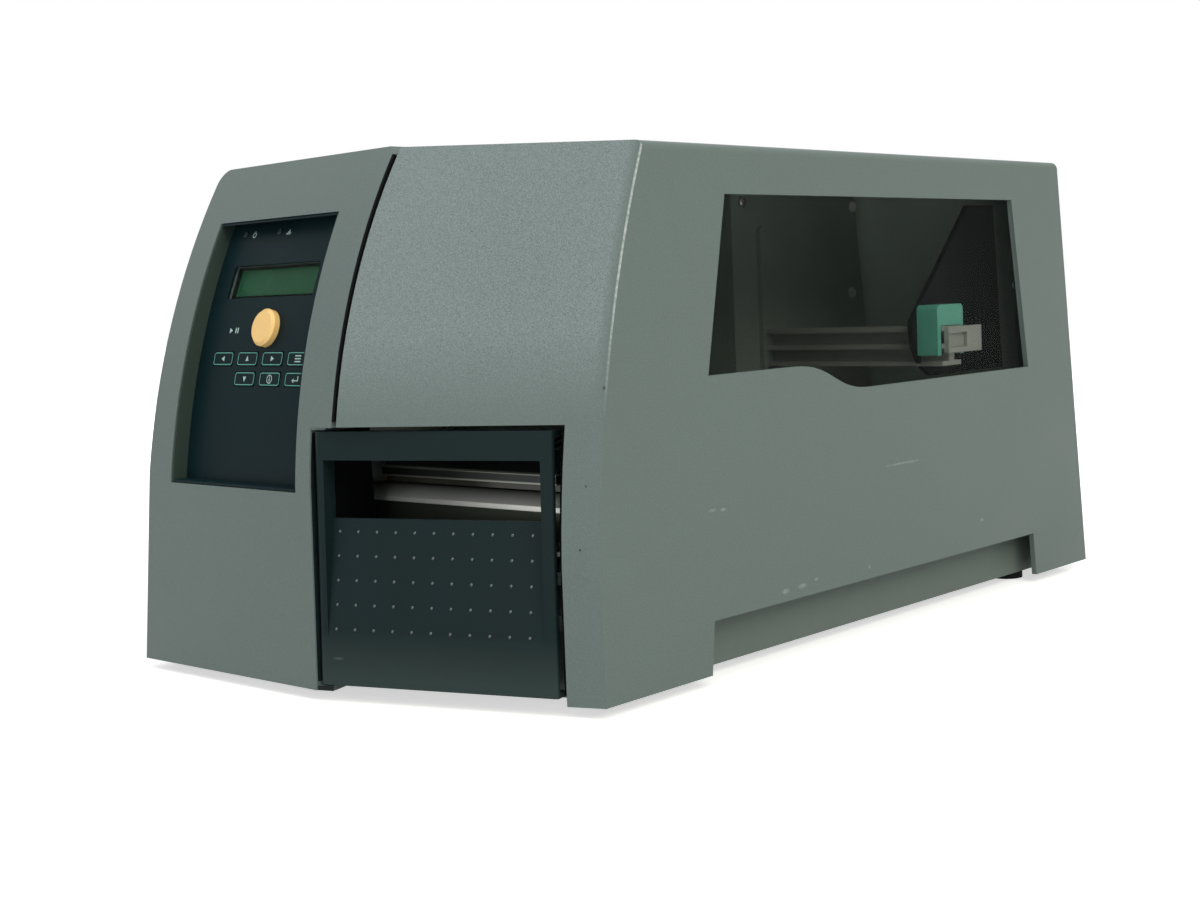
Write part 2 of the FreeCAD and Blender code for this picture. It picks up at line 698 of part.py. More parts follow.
def feed_button():
    top = -PANEL_SHEET - FEED_PROUD
    rim_front = PAN_WALL + FIT_GAP
    body = rod(FEED_RADIUS, V(0, top + FEED_EDGE, 0), V(0, rim_front + FEED_RIM_SHEET, 0))
    crown = Part.makeCone(FEED_RADIUS - FEED_EDGE, FEED_RADIUS, FEED_EDGE, V(0, top, 0), V(0, 1, 0))
    rim = rod(FEED_RADIUS + FEED_RIM, V(0, rim_front, 0), V(0, rim_front + FEED_RIM_SHEET, 0))
    return placed(body.fuse(crown).fuse(rim).removeSplitter(), console_frame(FEED_X, FEED_Z, RECESS_DEPTH))


def key_pad(x, z):
    pad = centred_box(KEY_WIDTH, -PANEL_SHEET - KEY_PROUD, PAN_WALL, KEY_HEIGHT)
    corners = [edge for edge in pad.Edges if near(abs(edge.CenterOfMass.x), KEY_WIDTH / 2)
               and near(abs(edge.CenterOfMass.z), KEY_HEIGHT / 2)]
    pad = pad.makeChamfer(KEY_CORNER, corners)
    return placed(pad, console_frame(x, z, RECESS_DEPTH))


def console_board():
    middle = (RECESS_LEFT + RECESS_RIGHT) / 2
    board = centred_box(RECESS_RIGHT - RECESS_LEFT - 2 * BOARD_MARGIN, 0, BOARD_SHEET, BOARD_HEIGHT)
    board = placed(board, console_frame(middle, FEED_Z, BOARD_DEPTH))
    for x in (RECESS_LEFT + PILLAR_INSET, RECESS_RIGHT - PILLAR_INSET):
        pillar = centred_box(2 * PILLAR_HALF, RECESS_DEPTH, BOARD_DEPTH, 2 * PILLAR_HALF)
        board = board.fuse(placed(pillar, console_frame(x, FEED_Z, 0.0)))
    pan = recess_box(PAN_WALL).cut(console_block(RECESS_DEPTH + PAN_WALL))
    return board.cut(pan).removeSplitter()


# Side door: one moulded shell of right wall, top and curved front, hung on the seam
def door_block(inset, x0, x1, low, drop, tail):
    wires = []
    for x in (x0, x1):
        share = (x - DOOR_LEFT) / (RIGHT - DOOR_LEFT)
        points = between(DOOR_SEAM_PROFILE, CORNER_PROFILE, share)
        top_z = points[3][1] - drop
        wires.append(section(x, points, inset, rear_y(low) + tail, rear_y(top_z) + tail, low, drop))
    return Part.makeLoft(wires, True, True)


def window_outline(grow, x):
    front_low = V(x, WINDOW_FRONT_LOW - grow, WINDOW_LOW_FRONT - grow)
    front_top = V(x, WINDOW_FRONT_TOP - grow, WINDOW_TOP + grow)
    rear_top = V(x, WINDOW_REAR_TOP + grow, WINDOW_TOP + grow)
    rear_low = V(x, WINDOW_REAR_LOW + grow, WINDOW_LOW_REAR - grow)
    crest = V(x, WAVE_CREST_Y, WINDOW_LOW_FRONT - grow)
    low = V(x, WAVE_LOW_Y, WINDOW_LOW_REAR - grow)
    wave = Part.BezierCurve()
    middle = (WAVE_CREST_Y + WAVE_LOW_Y) / 2
    wave.setPoles([crest, V(x, middle, crest.z), V(x, middle, low.z), low])
    corners = [low, rear_low, rear_top, front_top, front_low, crest]
    edges = [Part.LineSegment(start, end).toShape() for start, end in zip(corners, corners[1:])]
    return Part.Face(Part.Wire(edges + [wave.toShape()]))


def side_door():
    nose_front = FRONT + SEAM_SETBACKS[3] + NOSE_FRONT_GAP
    nose_rear = rear_y(HINGE_Z) - NOSE_REAR_GAP
    low = BOTTOM - CUT_OVER
    outer = door_block(0.0, DOOR_LEFT, RIGHT, BOTTOM, 0.0, 0.0)
    outer = rounded_edges(outer, DOOR_EDGE_ROUND, lambda p: near(p.x, RIGHT) and near(p.z, CORNER_TOP))
    inner = door_block(SKIN, DOOR_LEFT - CUT_OVER, RIGHT - SKIN, low, SKIN, CUT_REACH)
    opening = box(DOOR_LEFT - CUT_OVER, STRIP_LEFT, FRONT - CUT_REACH, FRONT + DOOR_OPENING_DEPTH,
                  low, DOOR_HEAD_Z)
    head = BOTTOM + CUTOUT_HEIGHT
    wall_in = RIGHT - SKIN - CUT_OVER
    cutout = prism_x([(CUTOUT_FRONT, low), (CUTOUT_FRONT + CUTOUT_SLOPE, head),
                      (CUTOUT_REAR - CUTOUT_SLOPE, head), (CUTOUT_REAR, low)], wall_in, RIGHT + CUT_OVER)
    window = window_outline(0.0, wall_in).extrude(V(SKIN + 2 * CUT_OVER, 0, 0))
    nose = rod(HINGE_RADIUS, V(HINGE_X, nose_front, HINGE_Z), V(HINGE_X, nose_rear, HINGE_Z))
    shell = outer.cut(inner).cut(opening).cut(cutout).cut(window).fuse(nose)
    for y in RIB_PLACES:
        shell = shell.fuse(box(wall_in + CUT_OVER - RIB_REACH, wall_in + 2 * CUT_OVER, y, y + RIB_SHEET,
                               RIB_LOW, RIB_TOP))
    for y in LUG_PLACES:
        half = LUG_LENGTH / 2 + LUG_SIDE_GAP
        shell = shell.cut(box(SEAM_X - CUT_OVER, HINGE_X + LUG_ROOM, y - half, y + half,
                              HINGE_Z - LUG_DROP, HEIGHT + CUT_OVER))
    return shell.cut(hinge_line(ROD_RADIUS + BORE_GAP, CUT_OVER)).removeSplitter()


# The smoked pane lies against the inside of the wall, round the opening
def door_window():
    return window_outline(WINDOW_MARGIN, RIGHT - SKIN).extrude(V(-WINDOW_SHEET, 0, 0))


# Front door: a dark frame round the label slot, with a sloping chute below it
FLAP_FRAME = FreeCAD.Placement(
    V(FLAP_X, FLAP_Y, FLAP_Z),
    FreeCAD.Rotation(V(0, 0, 1), FLAP_TURN).multiply(FreeCAD.Rotation(V(1, 0, 0), -FLAP_LEAN)))


def flap_axis(radius, over):
    return rod(radius, V(FLAP_PIVOT, FLAP_PIVOT, -over), V(FLAP_PIVOT, FLAP_PIVOT, FLAP_HEIGHT + over))


def front_door():
    chute_low = SLOT_LOW - CHUTE_FOOT
    cheeks = (SLOT_LEFT - CHEEK_WALL, SLOT_RIGHT + CHEEK_WALL)
    behind = FLAP_DEPTH + CUT_OVER
    slab = box(FLAP_PIVOT, FLAP_WIDTH, 0, FLAP_DEPTH, 0, FLAP_HEIGHT)
    slab = rounded_edges(slab, FLAP_EDGE_ROUND, lambda p: near(p.y, 0) and near(p.x, FLAP_WIDTH))
    inner = box(2 * FLAP_PIVOT, FLAP_WIDTH + CUT_OVER, FLAP_WALL, behind, FLAP_WALL, FLAP_HEIGHT - FLAP_WALL)
    corner = box(FLAP_PIVOT - CUT_OVER, 2 * FLAP_PIVOT, 2 * FLAP_PIVOT, behind,
                 -CUT_OVER, FLAP_HEIGHT + CUT_OVER)
    frame = slab.fuse(flap_axis(FLAP_PIVOT, 0.0)).cut(inner).cut(corner)
    surround = box(cheeks[0], cheeks[1], 0, FLAP_DEPTH, chute_low, SLOT_HIGH + CHEEK_WALL)
    slot = box(SLOT_LEFT, SLOT_RIGHT, -CUT_OVER, behind, SLOT_LOW, SLOT_HIGH)
    chute_back = CHUTE_SETBACK + FLAP_WALL
    above = prism_x([(0, chute_low), (chute_back, CHUTE_TOP), (0, CHUTE_TOP)], SLOT_LEFT, SLOT_RIGHT)
    chute = prism_x([(0, chute_low), (CHUTE_SETBACK, CHUTE_TOP), (chute_back, CHUTE_TOP),
                     (FLAP_WALL, chute_low)], cheeks[0], cheeks[1])
    frame = frame.fuse(surround).cut(slot).cut(above).fuse(chute)
    pins = flap_axis(FLAP_PIN_RADIUS, EAR_GAP + FLAP_PIN_LENGTH)
    return placed(frame.fuse(pins).removeSplitter(), FLAP_FRAME)


# Ears of the console that hold the door's pins
def flap_ears():
    head = FLAP_HEIGHT + EAR_GAP
    reach = FLAP_PIN_RADIUS + EAR_WALL
    ears = []
    for z0, z1 in ((-EAR_GAP - FLAP_PIN_LENGTH, -EAR_GAP), (head, head + FLAP_PIN_LENGTH + EAR_ROOF)):
        ear = box(-FLAP_PIVOT - EAR_LEFT, FLAP_PIVOT + reach,
                  FLAP_PIVOT - reach, 2 * FLAP_PIVOT + EAR_BACK, z0, z1)
        ears.append(placed(ear, FLAP_FRAME).common(console_block(FIT_GAP)))
    return ears


# Print mechanism
GUIDE_FRONT = PLATEN_Y + PLATEN_RADIUS + GUIDE_PLATE_GAP


def print_frame():
    foot_front = MECHANISM_FRONT + FRAME_FOOT_SETBACK
    frame_right = FRAME_X + SHEET
    plate = prism_x([(MECHANISM_FRONT, FLOOR + FRAME_NOSE), (MECHANISM_FRONT, FRAME_TOP - FRAME_CORNER),
                     (MECHANISM_FRONT + FRAME_CORNER, FRAME_TOP), (FRAME_REAR, FRAME_TOP),
                     (FRAME_REAR, FLOOR), (foot_front, FLOOR)], FRAME_X, frame_right)
    foot = box(FRAME_X - FRAME_FOOT_WIDTH, frame_right, foot_front, FRAME_REAR, FLOOR, FLOOR + SHEET)
    guide = box(WALL_X, FRAME_X, GUIDE_FRONT, ROD_Y - ROD_ROOM,
                GUIDE_PLATE_Z, GUIDE_PLATE_Z + GUIDE_PLATE_SHEET)
    apron = box(WALL_X, FRAME_X, GUIDE_FRONT, GUIDE_FRONT + GUIDE_PLATE_SHEET,
                GUIDE_PLATE_Z - APRON_HEIGHT, GUIDE_PLATE_Z)
    frame = plate.fuse(foot).fuse(guide).fuse(apron)
    for radius, y, z in ((BEARING_RADIUS, PLATEN_Y, PLATEN_Z), (LEVER_PIN + BORE_GAP, LEVER_Y, LEVER_Z)):
        frame = frame.cut(rod_x(radius, FRAME_X - CUT_OVER, frame_right + CUT_OVER, y, z))
    return frame.removeSplitter()


# Tear bar: a sloping top, a blunt nose and a plain front below it
def tear_bar():
    nose_y = MECHANISM_FRONT - TEAR_REACH
    nose_low = TEAR_NOSE_Z - TEAR_NOSE_HEIGHT
    face_y = nose_y + TEAR_LIP
    return prism_x([(MECHANISM_FRONT, EXIT_Z), (face_y, TEAR_NOSE_Z), (nose_y, TEAR_NOSE_Z - TEAR_LIP),
                    (nose_y, nose_low), (face_y, nose_low), (face_y, TEAR_LOW), (MECHANISM_FRONT, TEAR_LOW)],
                   WALL_X - SHEET, FRAME_X + SHEET)


def platen_bearing(x0, flange_x):
    x1 = x0 + SHEET
    over = BEARING_FLANGE + CUT_OVER
    bush = rod_x(BEARING_RADIUS, x0, x1, PLATEN_Y, PLATEN_Z)
    flange = rod_x(BEARING_RADIUS + BEARING_LIP, flange_x, flange_x + BEARING_FLANGE, PLATEN_Y, PLATEN_Z)
    bore = rod_x(SHAFT_RADIUS + BORE_GAP, x0 - over, x1 + over, PLATEN_Y, PLATEN_Z)
    return bush.fuse(flange).cut(bore).removeSplitter()


def platen_roller():
    x0 = WALL_X + BEARING_FLANGE + PLATEN_END_GAP
    x1 = FRAME_X - BEARING_FLANGE - PLATEN_END_GAP
    return ring_x(PLATEN_RADIUS, SHAFT_RADIUS, x0, x1, PLATEN_Y, PLATEN_Z)


def platen_shaft():
    return rod_x(SHAFT_RADIUS, PULLEY_X - SHAFT_END, FRAME_X + SHEET + SHAFT_END, PLATEN_Y, PLATEN_Z)


# Drive
def pulley(outer, inner, y, z):
    wheel = ring_x(outer, inner, PULLEY_X, PULLEY_X + PULLEY_WIDTH, y, z)
    flange = ring_x(outer + PULLEY_RIM, inner, PULLEY_X, PULLEY_X + PULLEY_FLANGE, y, z)
    return wheel.fuse(flange).removeSplitter()


def motor_pulley():
    wheel = pulley(MOTOR_PULLEY_RADIUS, MOTOR_SHAFT_RADIUS, MOTOR_Y, MOTOR_Z)
    shaft = rod_x(MOTOR_SHAFT_RADIUS, MOTOR_PLATE_X - MOTOR_SHAFT_DEPTH, PULLEY_X + PULLEY_WIDTH + SHAFT_END,
                  MOTOR_Y, MOTOR_Z)
    return wheel.fuse(shaft).removeSplitter()


# The area inside a belt of the given thickness, wrapped round both pulleys
def belt_loop(thickness):
    x0 = PULLEY_X + PULLEY_FLANGE + FIT_GAP
    x1 = PULLEY_X + PULLEY_WIDTH - FIT_GAP
    big = PLATEN_PULLEY_RADIUS + FIT_GAP + thickness
    small = MOTOR_PULLEY_RADIUS + FIT_GAP + thickness
    start = V(x0, PLATEN_Y, PLATEN_Z)
    end = V(x0, MOTOR_Y, MOTOR_Z)
    span = end - start
    lean = math.acos((big - small) / span.Length)
    heading = math.atan2(span.z, span.y)
    upper, lower = [V(0, math.cos(angle), math.sin(angle)) for angle in (heading + lean, heading - lean)]
    corners = [start + upper * big, end + upper * small, end + lower * small, start + lower * big]
    web = prism(corners, V(x1 - x0, 0, 0))
    return web.fuse(rod_x(big, x0, x1, PLATEN_Y, PLATEN_Z)).fuse(rod_x(small, x0, x1, MOTOR_Y, MOTOR_Z))


def drive_belt():
    return belt_loop(BELT_SHEET).cut(belt_loop(0.0)).removeSplitter()


def motor_bracket():
    half = MOTOR_SIZE / 2 + MOTOR_MARGIN
    x0 = MOTOR_PLATE_X
    x1 = WALL_X - SHEET
    y0, y1 = MOTOR_Y - half, MOTOR_Y + half
    z0, z1 = MOTOR_Z - half, MOTOR_Z + half
    plate = box(x0, x0 + SHEET, y0, y1, z0, z1)
    leg = box(x0, x1, y1 - SHEET, y1, z0, z1)
    shelf = box(x0, x1, y0, y1, z0, z0 + SHEET)
    hole = rod_x(MOTOR_BOSS_RADIUS, x0 - CUT_OVER, x0 + SHEET + CUT_OVER, MOTOR_Y, MOTOR_Z)
    return plate.fuse(leg).fuse(shelf).cut(hole).removeSplitter()


def stepper_motor():
    half = MOTOR_SIZE / 2
    rear_x = MOTOR_PLATE_X - MOTOR_LENGTH
    body = box(rear_x, MOTOR_PLATE_X, MOTOR_Y - half, MOTOR_Y + half, MOTOR_Z - half, MOTOR_Z + half)
    body = body.makeChamfer(MOTOR_CHAMFER, [edge for edge in body.Edges
                                            if near(edge.CenterOfMass.x, rear_x + MOTOR_LENGTH / 2)])
    bore = rod_x(MOTOR_SHAFT_RADIUS + BORE_GAP, MOTOR_PLATE_X - MOTOR_SHAFT_DEPTH - PIN_END_GAP,
                 MOTOR_PLATE_X + CUT_OVER, MOTOR_Y, MOTOR_Z)
    return body.cut(bore)


# Print head on its swinging bracket
HEAD_LOW = EXIT_Z + HEAD_GAP
HEAD_TOP = HEAD_LOW + HEAD_THICK
HEAD_LEFT = (WALL_X + FRAME_X - HEAD_LENGTH) / 2
HEAD_FRONT = PLATEN_Y - HEAD_DEPTH / 2 - HEAD_SETBACK
HEAD_REAR = HEAD_FRONT + HEAD_DEPTH


def thermal_head():
    return box(HEAD_LEFT, HEAD_LEFT + HEAD_LENGTH, HEAD_FRONT, HEAD_REAR, HEAD_LOW, HEAD_TOP)


def head_bracket():
    bar = HEAD_FRONT - HEAD_BAR_OVER
    bar_top = HEAD_TOP + HEAD_BAR_HEIGHT
    arm_front = HEAD_PIVOT_Y - SHAFT_RADIUS - HEAD_BAR_CHAMFER
    block = prism_x([
        (bar, HEAD_TOP), (HEAD_REAR, HEAD_TOP), (HEAD_REAR, HEAD_TOP + HEAD_WEB),
        (arm_front, HEAD_PIVOT_Z - EYE_WALL), (arm_front, HEAD_PIVOT_Z + EYE_WALL),
        (bar + HEAD_CROWN_SETBACK, HEAD_TOP + HEAD_CROWN), (bar + HEAD_BAR_CHAMFER, bar_top),
        (bar, bar_top - HEAD_BAR_CHAMFER)], HEAD_LEFT, HEAD_LEFT + HEAD_LENGTH)
    slot_y = bar + HEAD_CROWN_SETBACK + HEAD_BAR_CHAMFER
    slot_z = HEAD_TOP + HEAD_CROWN - HEAD_SLOT_DEPTH
    for step in range(HEAD_SLOT_COUNT):
        x = HEAD_LEFT + HEAD_SLOT_INSET + step * HEAD_SLOT_PITCH
        block = block.cut(box(x, x + HEAD_SLOT_WIDTH, slot_y, slot_y + HEAD_SLOT_LENGTH, slot_z, HEIGHT))
    eye_radius = SHAFT_RADIUS + EYE_WALL
    for x in (HEAD_LEFT, HEAD_LEFT + HEAD_LENGTH - EYE_LENGTH):
        eye = rod_x(eye_radius, x, x + EYE_LENGTH, HEAD_PIVOT_Y, HEAD_PIVOT_Z)
        arm = box(x, x + EYE_LENGTH, HEAD_PIVOT_Y - eye_radius, HEAD_PIVOT_Y,
                  HEAD_PIVOT_Z - EYE_WALL, HEAD_PIVOT_Z + EYE_WALL)
        block = block.fuse(eye).fuse(arm)
    bore = rod_x(SHAFT_RADIUS + BORE_GAP, WALL_X, FRAME_X, HEAD_PIVOT_Y, HEAD_PIVOT_Z)
    return block.cut(bore).removeSplitter()


def lift_lever():
    x0 = FRAME_X + SHEET + LEVER_GAP
    x1 = x0 + LEVER_THICK
    tip_y = LEVER_Y - LEVER_LEAN
    tip_z = LEVER_Z + LEVER_REACH
    pin = rod_x(LEVER_PIN, FRAME_X - LEVER_GAP, x0, LEVER_Y, LEVER_Z)
    hub = rod_x(LEVER_HUB, x0, x1, LEVER_Y, LEVER_Z)
    arm = prism_x([(LEVER_Y - LEVER_ROOT, LEVER_Z), (tip_y - LEVER_TIP, tip_z), (tip_y + LEVER_TIP, tip_z),
                   (LEVER_Y + LEVER_ROOT, LEVER_Z)], x0, x1)
    grip = rod_x(LEVER_GRIP, x0, x1 + LEVER_GRIP_REACH, tip_y, tip_z)
    return pin.fuse(hub).fuse(arm).fuse(grip).removeSplitter()


def gap_sensor():
    front = PLATEN_Y + PLATEN_RADIUS + SENSOR_SETBACK
    return box(SENSOR_X, SENSOR_X + SENSOR_WIDTH, front, front + SENSOR_DEPTH,
               GUIDE_PLATE_Z - SENSOR_HEIGHT, GUIDE_PLATE_Z)


def edge_guide():
    x1 = FRAME_X - GUIDE_END_GAP
    x0 = x1 - GUIDE_LENGTH
    hub = rod_x(GUIDE_ROD_RADIUS + GUIDE_HUB_WALL, x0, x1, ROD_Y, ROD_Z)
    fin = prism_x([(ROD_Y - FIN_HALF, ROD_Z), (ROD_Y - FIN_HALF + FIN_LEAN, ROD_Z + FIN_HEIGHT),
                   (ROD_Y + FIN_HALF + FIN_LEAN, ROD_Z + FIN_HEIGHT), (ROD_Y + FIN_HALF, ROD_Z)],
                  x1 - FIN_SHEET, x1)
    bore = rod_x(GUIDE_ROD_RADIUS + BORE_GAP, x0 - CUT_OVER, x1 + CUT_OVER, ROD_Y, ROD_Z)
    return hub.fuse(fin).cut(bore).removeSplitter()


# Media supply
def supply_outline(inset):
    rear_inset = PANEL_INSET + REAR_SHEET + SUPPLY_REAR_GAP + inset
    low = SUPPLY_LOW + inset
    top = SUPPLY_TOP - inset
    front = SUPPLY_FRONT + inset
    return [(front, low), (rear_y(low, rear_inset), low), (rear_y(top, rear_inset), top), (front, top)]


def supply_panel():
    raised = prism_x(supply_outline(0.0), WALL_X, SUPPLY_FACE_X)
    return raised.cut(prism_x(supply_outline(SKIN), WALL_X - CUT_OVER, SUPPLY_FACE_X - SKIN))


def post_bracket():
    half = POST_WIDTH / 2 + BRACKET_MARGIN
    low = POST_LOW - BRACKET_DROP
    x1 = SUPPLY_FACE_X + BRACKET_SHEET
    plate = box(SUPPLY_FACE_X, x1, POST_Y - half, POST_Y + half, low, low + BRACKET_HEIGHT)
    return rounded_edges(plate, BRACKET_CORNER, lambda p: near(p.x, (SUPPLY_FACE_X + x1) / 2))


def supply_post():
    x0 = SUPPLY_FACE_X + BRACKET_SHEET
    half = POST_WIDTH / 2
    post = box(x0, POST_END_X, POST_Y - POST_RIB, POST_Y + POST_RIB, POST_LOW, POST_LOW + POST_HEIGHT)
    for level in (0, 1, 2):
        z = POST_LOW + level * (POST_HEIGHT - POST_RIB) / 2
        post = post.fuse(box(x0, POST_END_X, POST_Y - half, POST_Y + half, z, z + POST_RIB))
    y0 = POST_Y - half + TAB_FRONT
    z0 = POST_LOW + TAB_LOW
    tab = box(POST_END_X, POST_END_X + TAB_THICK, y0, y0 + TAB_WIDTH, z0, z0 + TAB_HEIGHT)
    hollow_y = y0 + TAB_HOLLOW_FRONT
    hollow_z = z0 + TAB_HOLLOW_LOW
    hollow = box(POST_END_X + TAB_SHEET, POST_END_X + TAB_THICK + CUT_OVER,
                 hollow_y, hollow_y + TAB_HOLLOW_WIDTH, hollow_z, hollow_z + TAB_HOLLOW_HEIGHT)
    return post.fuse(tab).cut(hollow).removeSplitter()


def post_clearance(x0, x1, below):
    half = POST_WIDTH / 2 + FIT_GAP
    return box(x0, x1, POST_Y - half, POST_Y + half, POST_LOW - below, POST_LOW + POST_HEIGHT + FIT_GAP)


def roll_retainer():
    half = POST_WIDTH / 2 + FIT_GAP + RETAINER_WALL
    x1 = RETAINER_X + RETAINER_LENGTH
    top = POST_LOW + POST_HEIGHT + RETAINER_RISE
    saddle = box(RETAINER_X, x1, POST_Y - half, POST_Y + half, POST_LOW + RETAINER_SKIRT, top)
    saddle = rounded_edges(saddle, RETAINER_CORNER,
                           lambda p: near(p.z, top) and near(abs(p.y - POST_Y), half))
    return saddle.cut(post_clearance(RETAINER_X - CUT_OVER, x1 + CUT_OVER, CUT_OVER))


def retainer_wing():
    x0 = RETAINER_X - WING_SHEET
    heel, belly, nose, tip, back, tail = [
        V(x0, POST_Y + y, POST_LOW + z)
        for y, z in (WING_HEEL, WING_BELLY, WING_NOSE, WING_TIP, WING_BACK, WING_TAIL)]
    corners = [nose, tip, back, tail, heel]
    edges = [Part.LineSegment(start, end).toShape() for start, end in zip(corners, corners[1:])]
    edges.append(Part.Arc(heel, belly, nose).toShape())
    plate = Part.Face(Part.Wire(edges)).extrude(V(WING_SHEET, 0, 0))
    return plate.cut(post_clearance(x0 - CUT_OVER, RETAINER_X + CUT_OVER, FIT_GAP))


# Rear panel and electronics
REAR_FRAME = FreeCAD.Placement(
    V(0, rear_y(FLOOR, PANEL_INSET) - REAR_SHEET, FLOOR),
    FreeCAD.Rotation(V(1, 0, 0), math.degrees(math.atan2(REAR_LEAN, HEIGHT - BOTTOM))))


def rear_block(place, grow, depth0, depth1):
    x, z, width, height = place
    return box(x - width / 2 - grow, x + width / 2 + grow, depth0, depth1,
               z - height / 2 - grow, z + height / 2 + grow)


def rear_panel():
    slant = (HEIGHT - BOTTOM) / math.hypot(REAR_LEAN, HEIGHT - BOTTOM)
    height = (WALL_TOP - FLOOR) / slant
    sheet = box(LEFT + SKIN + FIT_GAP, RIGHT - SKIN - REAR_SIDE_GAP, 0, REAR_SHEET, 0, height)
    places = [INLET, SWITCH, PARALLEL, SERIAL]
    places += [(PORT_X, VENT_LOW + row * VENT_PITCH, VENT_WIDTH, VENT_HEIGHT) for row in range(VENT_COUNT)]
    for place in places:
        sheet = sheet.cut(rear_block(place, 0.0, -CUT_OVER, REAR_SHEET + CUT_OVER))
    return placed(sheet, REAR_FRAME)


def panel_insert(place, depth, rim, hollow):
    face = REAR_SHEET + INSERT_FLANGE
    body = rear_block(place, 0.0, -depth, REAR_SHEET)
    flange = rear_block(place, rim, REAR_SHEET, face)
    cavity = rear_block(place, -INSERT_WALL, face - hollow, face + CUT_OVER)
    return placed(body.fuse(flange).cut(cavity).removeSplitter(), REAR_FRAME)


def switch_rocker():
    x, z, width, height = SWITCH
    cavity_half = width / 2 - INSERT_WALL
    half_x = cavity_half - ROCKER_SIDE_GAP
    half_z = height / 2 - INSERT_WALL - ROCKER_END_GAP
    edge = ROCKER_FACE + ROCKER_RISE
    outline = [(ROCKER_FACE - ROCKER_ROOT, -ROCKER_ROOT_HALF), (edge - ROCKER_EDGE, -half_z), (edge, -half_z),
               (ROCKER_FACE + ROCKER_DIP, 0), (edge, half_z), (edge - ROCKER_EDGE, half_z),
               (ROCKER_FACE - ROCKER_ROOT, ROCKER_ROOT_HALF)]
    rocker = prism_x([(depth, z + up) for depth, up in outline], x - half_x, x + half_x)
    axle_half = cavity_half - FIT_GAP
    axle = rod_x(ROCKER_AXLE, x - axle_half, x + axle_half, ROCKER_FACE - ROCKER_PIVOT, z)
    return placed(rocker.fuse(axle).removeSplitter(), REAR_FRAME)


def port(place):
    body = rear_block(place, 0.0, -PORT_DEPTH, REAR_SHEET)
    flange = rear_block(place, PORT_RIM, REAR_SHEET, REAR_SHEET + PORT_FLANGE)
    shell = rear_block(place, -PORT_SHELL_INSET, REAR_SHEET, REAR_SHEET + PORT_SHELL)
    return placed(body.fuse(flange).fuse(shell).removeSplitter(), REAR_FRAME)


def main_board():
    wall = WALL_X - SHEET
    face = wall - STANDOFF
    y0, y1 = MAIN_BOARD_FRONT, MAIN_BOARD_FRONT + MAIN_BOARD_LENGTH
    z0, z1 = MAIN_BOARD_LOW, MAIN_BOARD_LOW + MAIN_BOARD_HEIGHT
    board = box(face - BOARD_SHEET, face, y0, y1, z0, z1)
    half = PILLAR_HALF
    for y in (y0 + STANDOFF_INSET, y1 - STANDOFF_INSET):
        for z in (z0 + STANDOFF_INSET, z1 - STANDOFF_INSET):
            board = board.fuse(box(face, wall, y - half, y + half, z - half, z + half))
    return board.removeSplitter()


def power_supply():
    x0, x1 = SUPPLY_BOX_X, SUPPLY_BOX_X + SUPPLY_BOX_WIDTH
    y0, y1 = SUPPLY_BOX_FRONT, SUPPLY_BOX_FRONT + SUPPLY_BOX_LENGTH
    top = FLOOR + SUPPLY_BOX_HEIGHT
    sheet = SUPPLY_BOX_SHEET
    inner = box(x0 + sheet, x1 - sheet, y0 + sheet, y1 - sheet, FLOOR + sheet, top + CUT_OVER)
    return box(x0, x1, y0, y1, FLOOR, top).cut(inner)


def door_catch():
    x0 = CATCH_RIGHT - CATCH_SHEET
    y0 = TRAY_FRONT + TRAY_WALL
    y1 = y0 + CATCH_DEPTH
    magnet_y = TRAY_FRONT - MAGNET_FRONT
    magnet_z = FLOOR + MAGNET_LOW
    post = box(x0, CATCH_RIGHT, y0, y1, FLOOR, FLOOR + CATCH_HEIGHT)
    foot = box(x0, CATCH_RIGHT + CATCH_FOOT, y0, y1, FLOOR, FLOOR + CATCH_FOOT_SHEET)
    magnet = box(x0 - MAGNET_WIDTH, CATCH_RIGHT, magnet_y, magnet_y + MAGNET_DEPTH, magnet_z,
                 magnet_z + MAGNET_HEIGHT)
    return post.fuse(foot).fuse(magnet).removeSplitter()


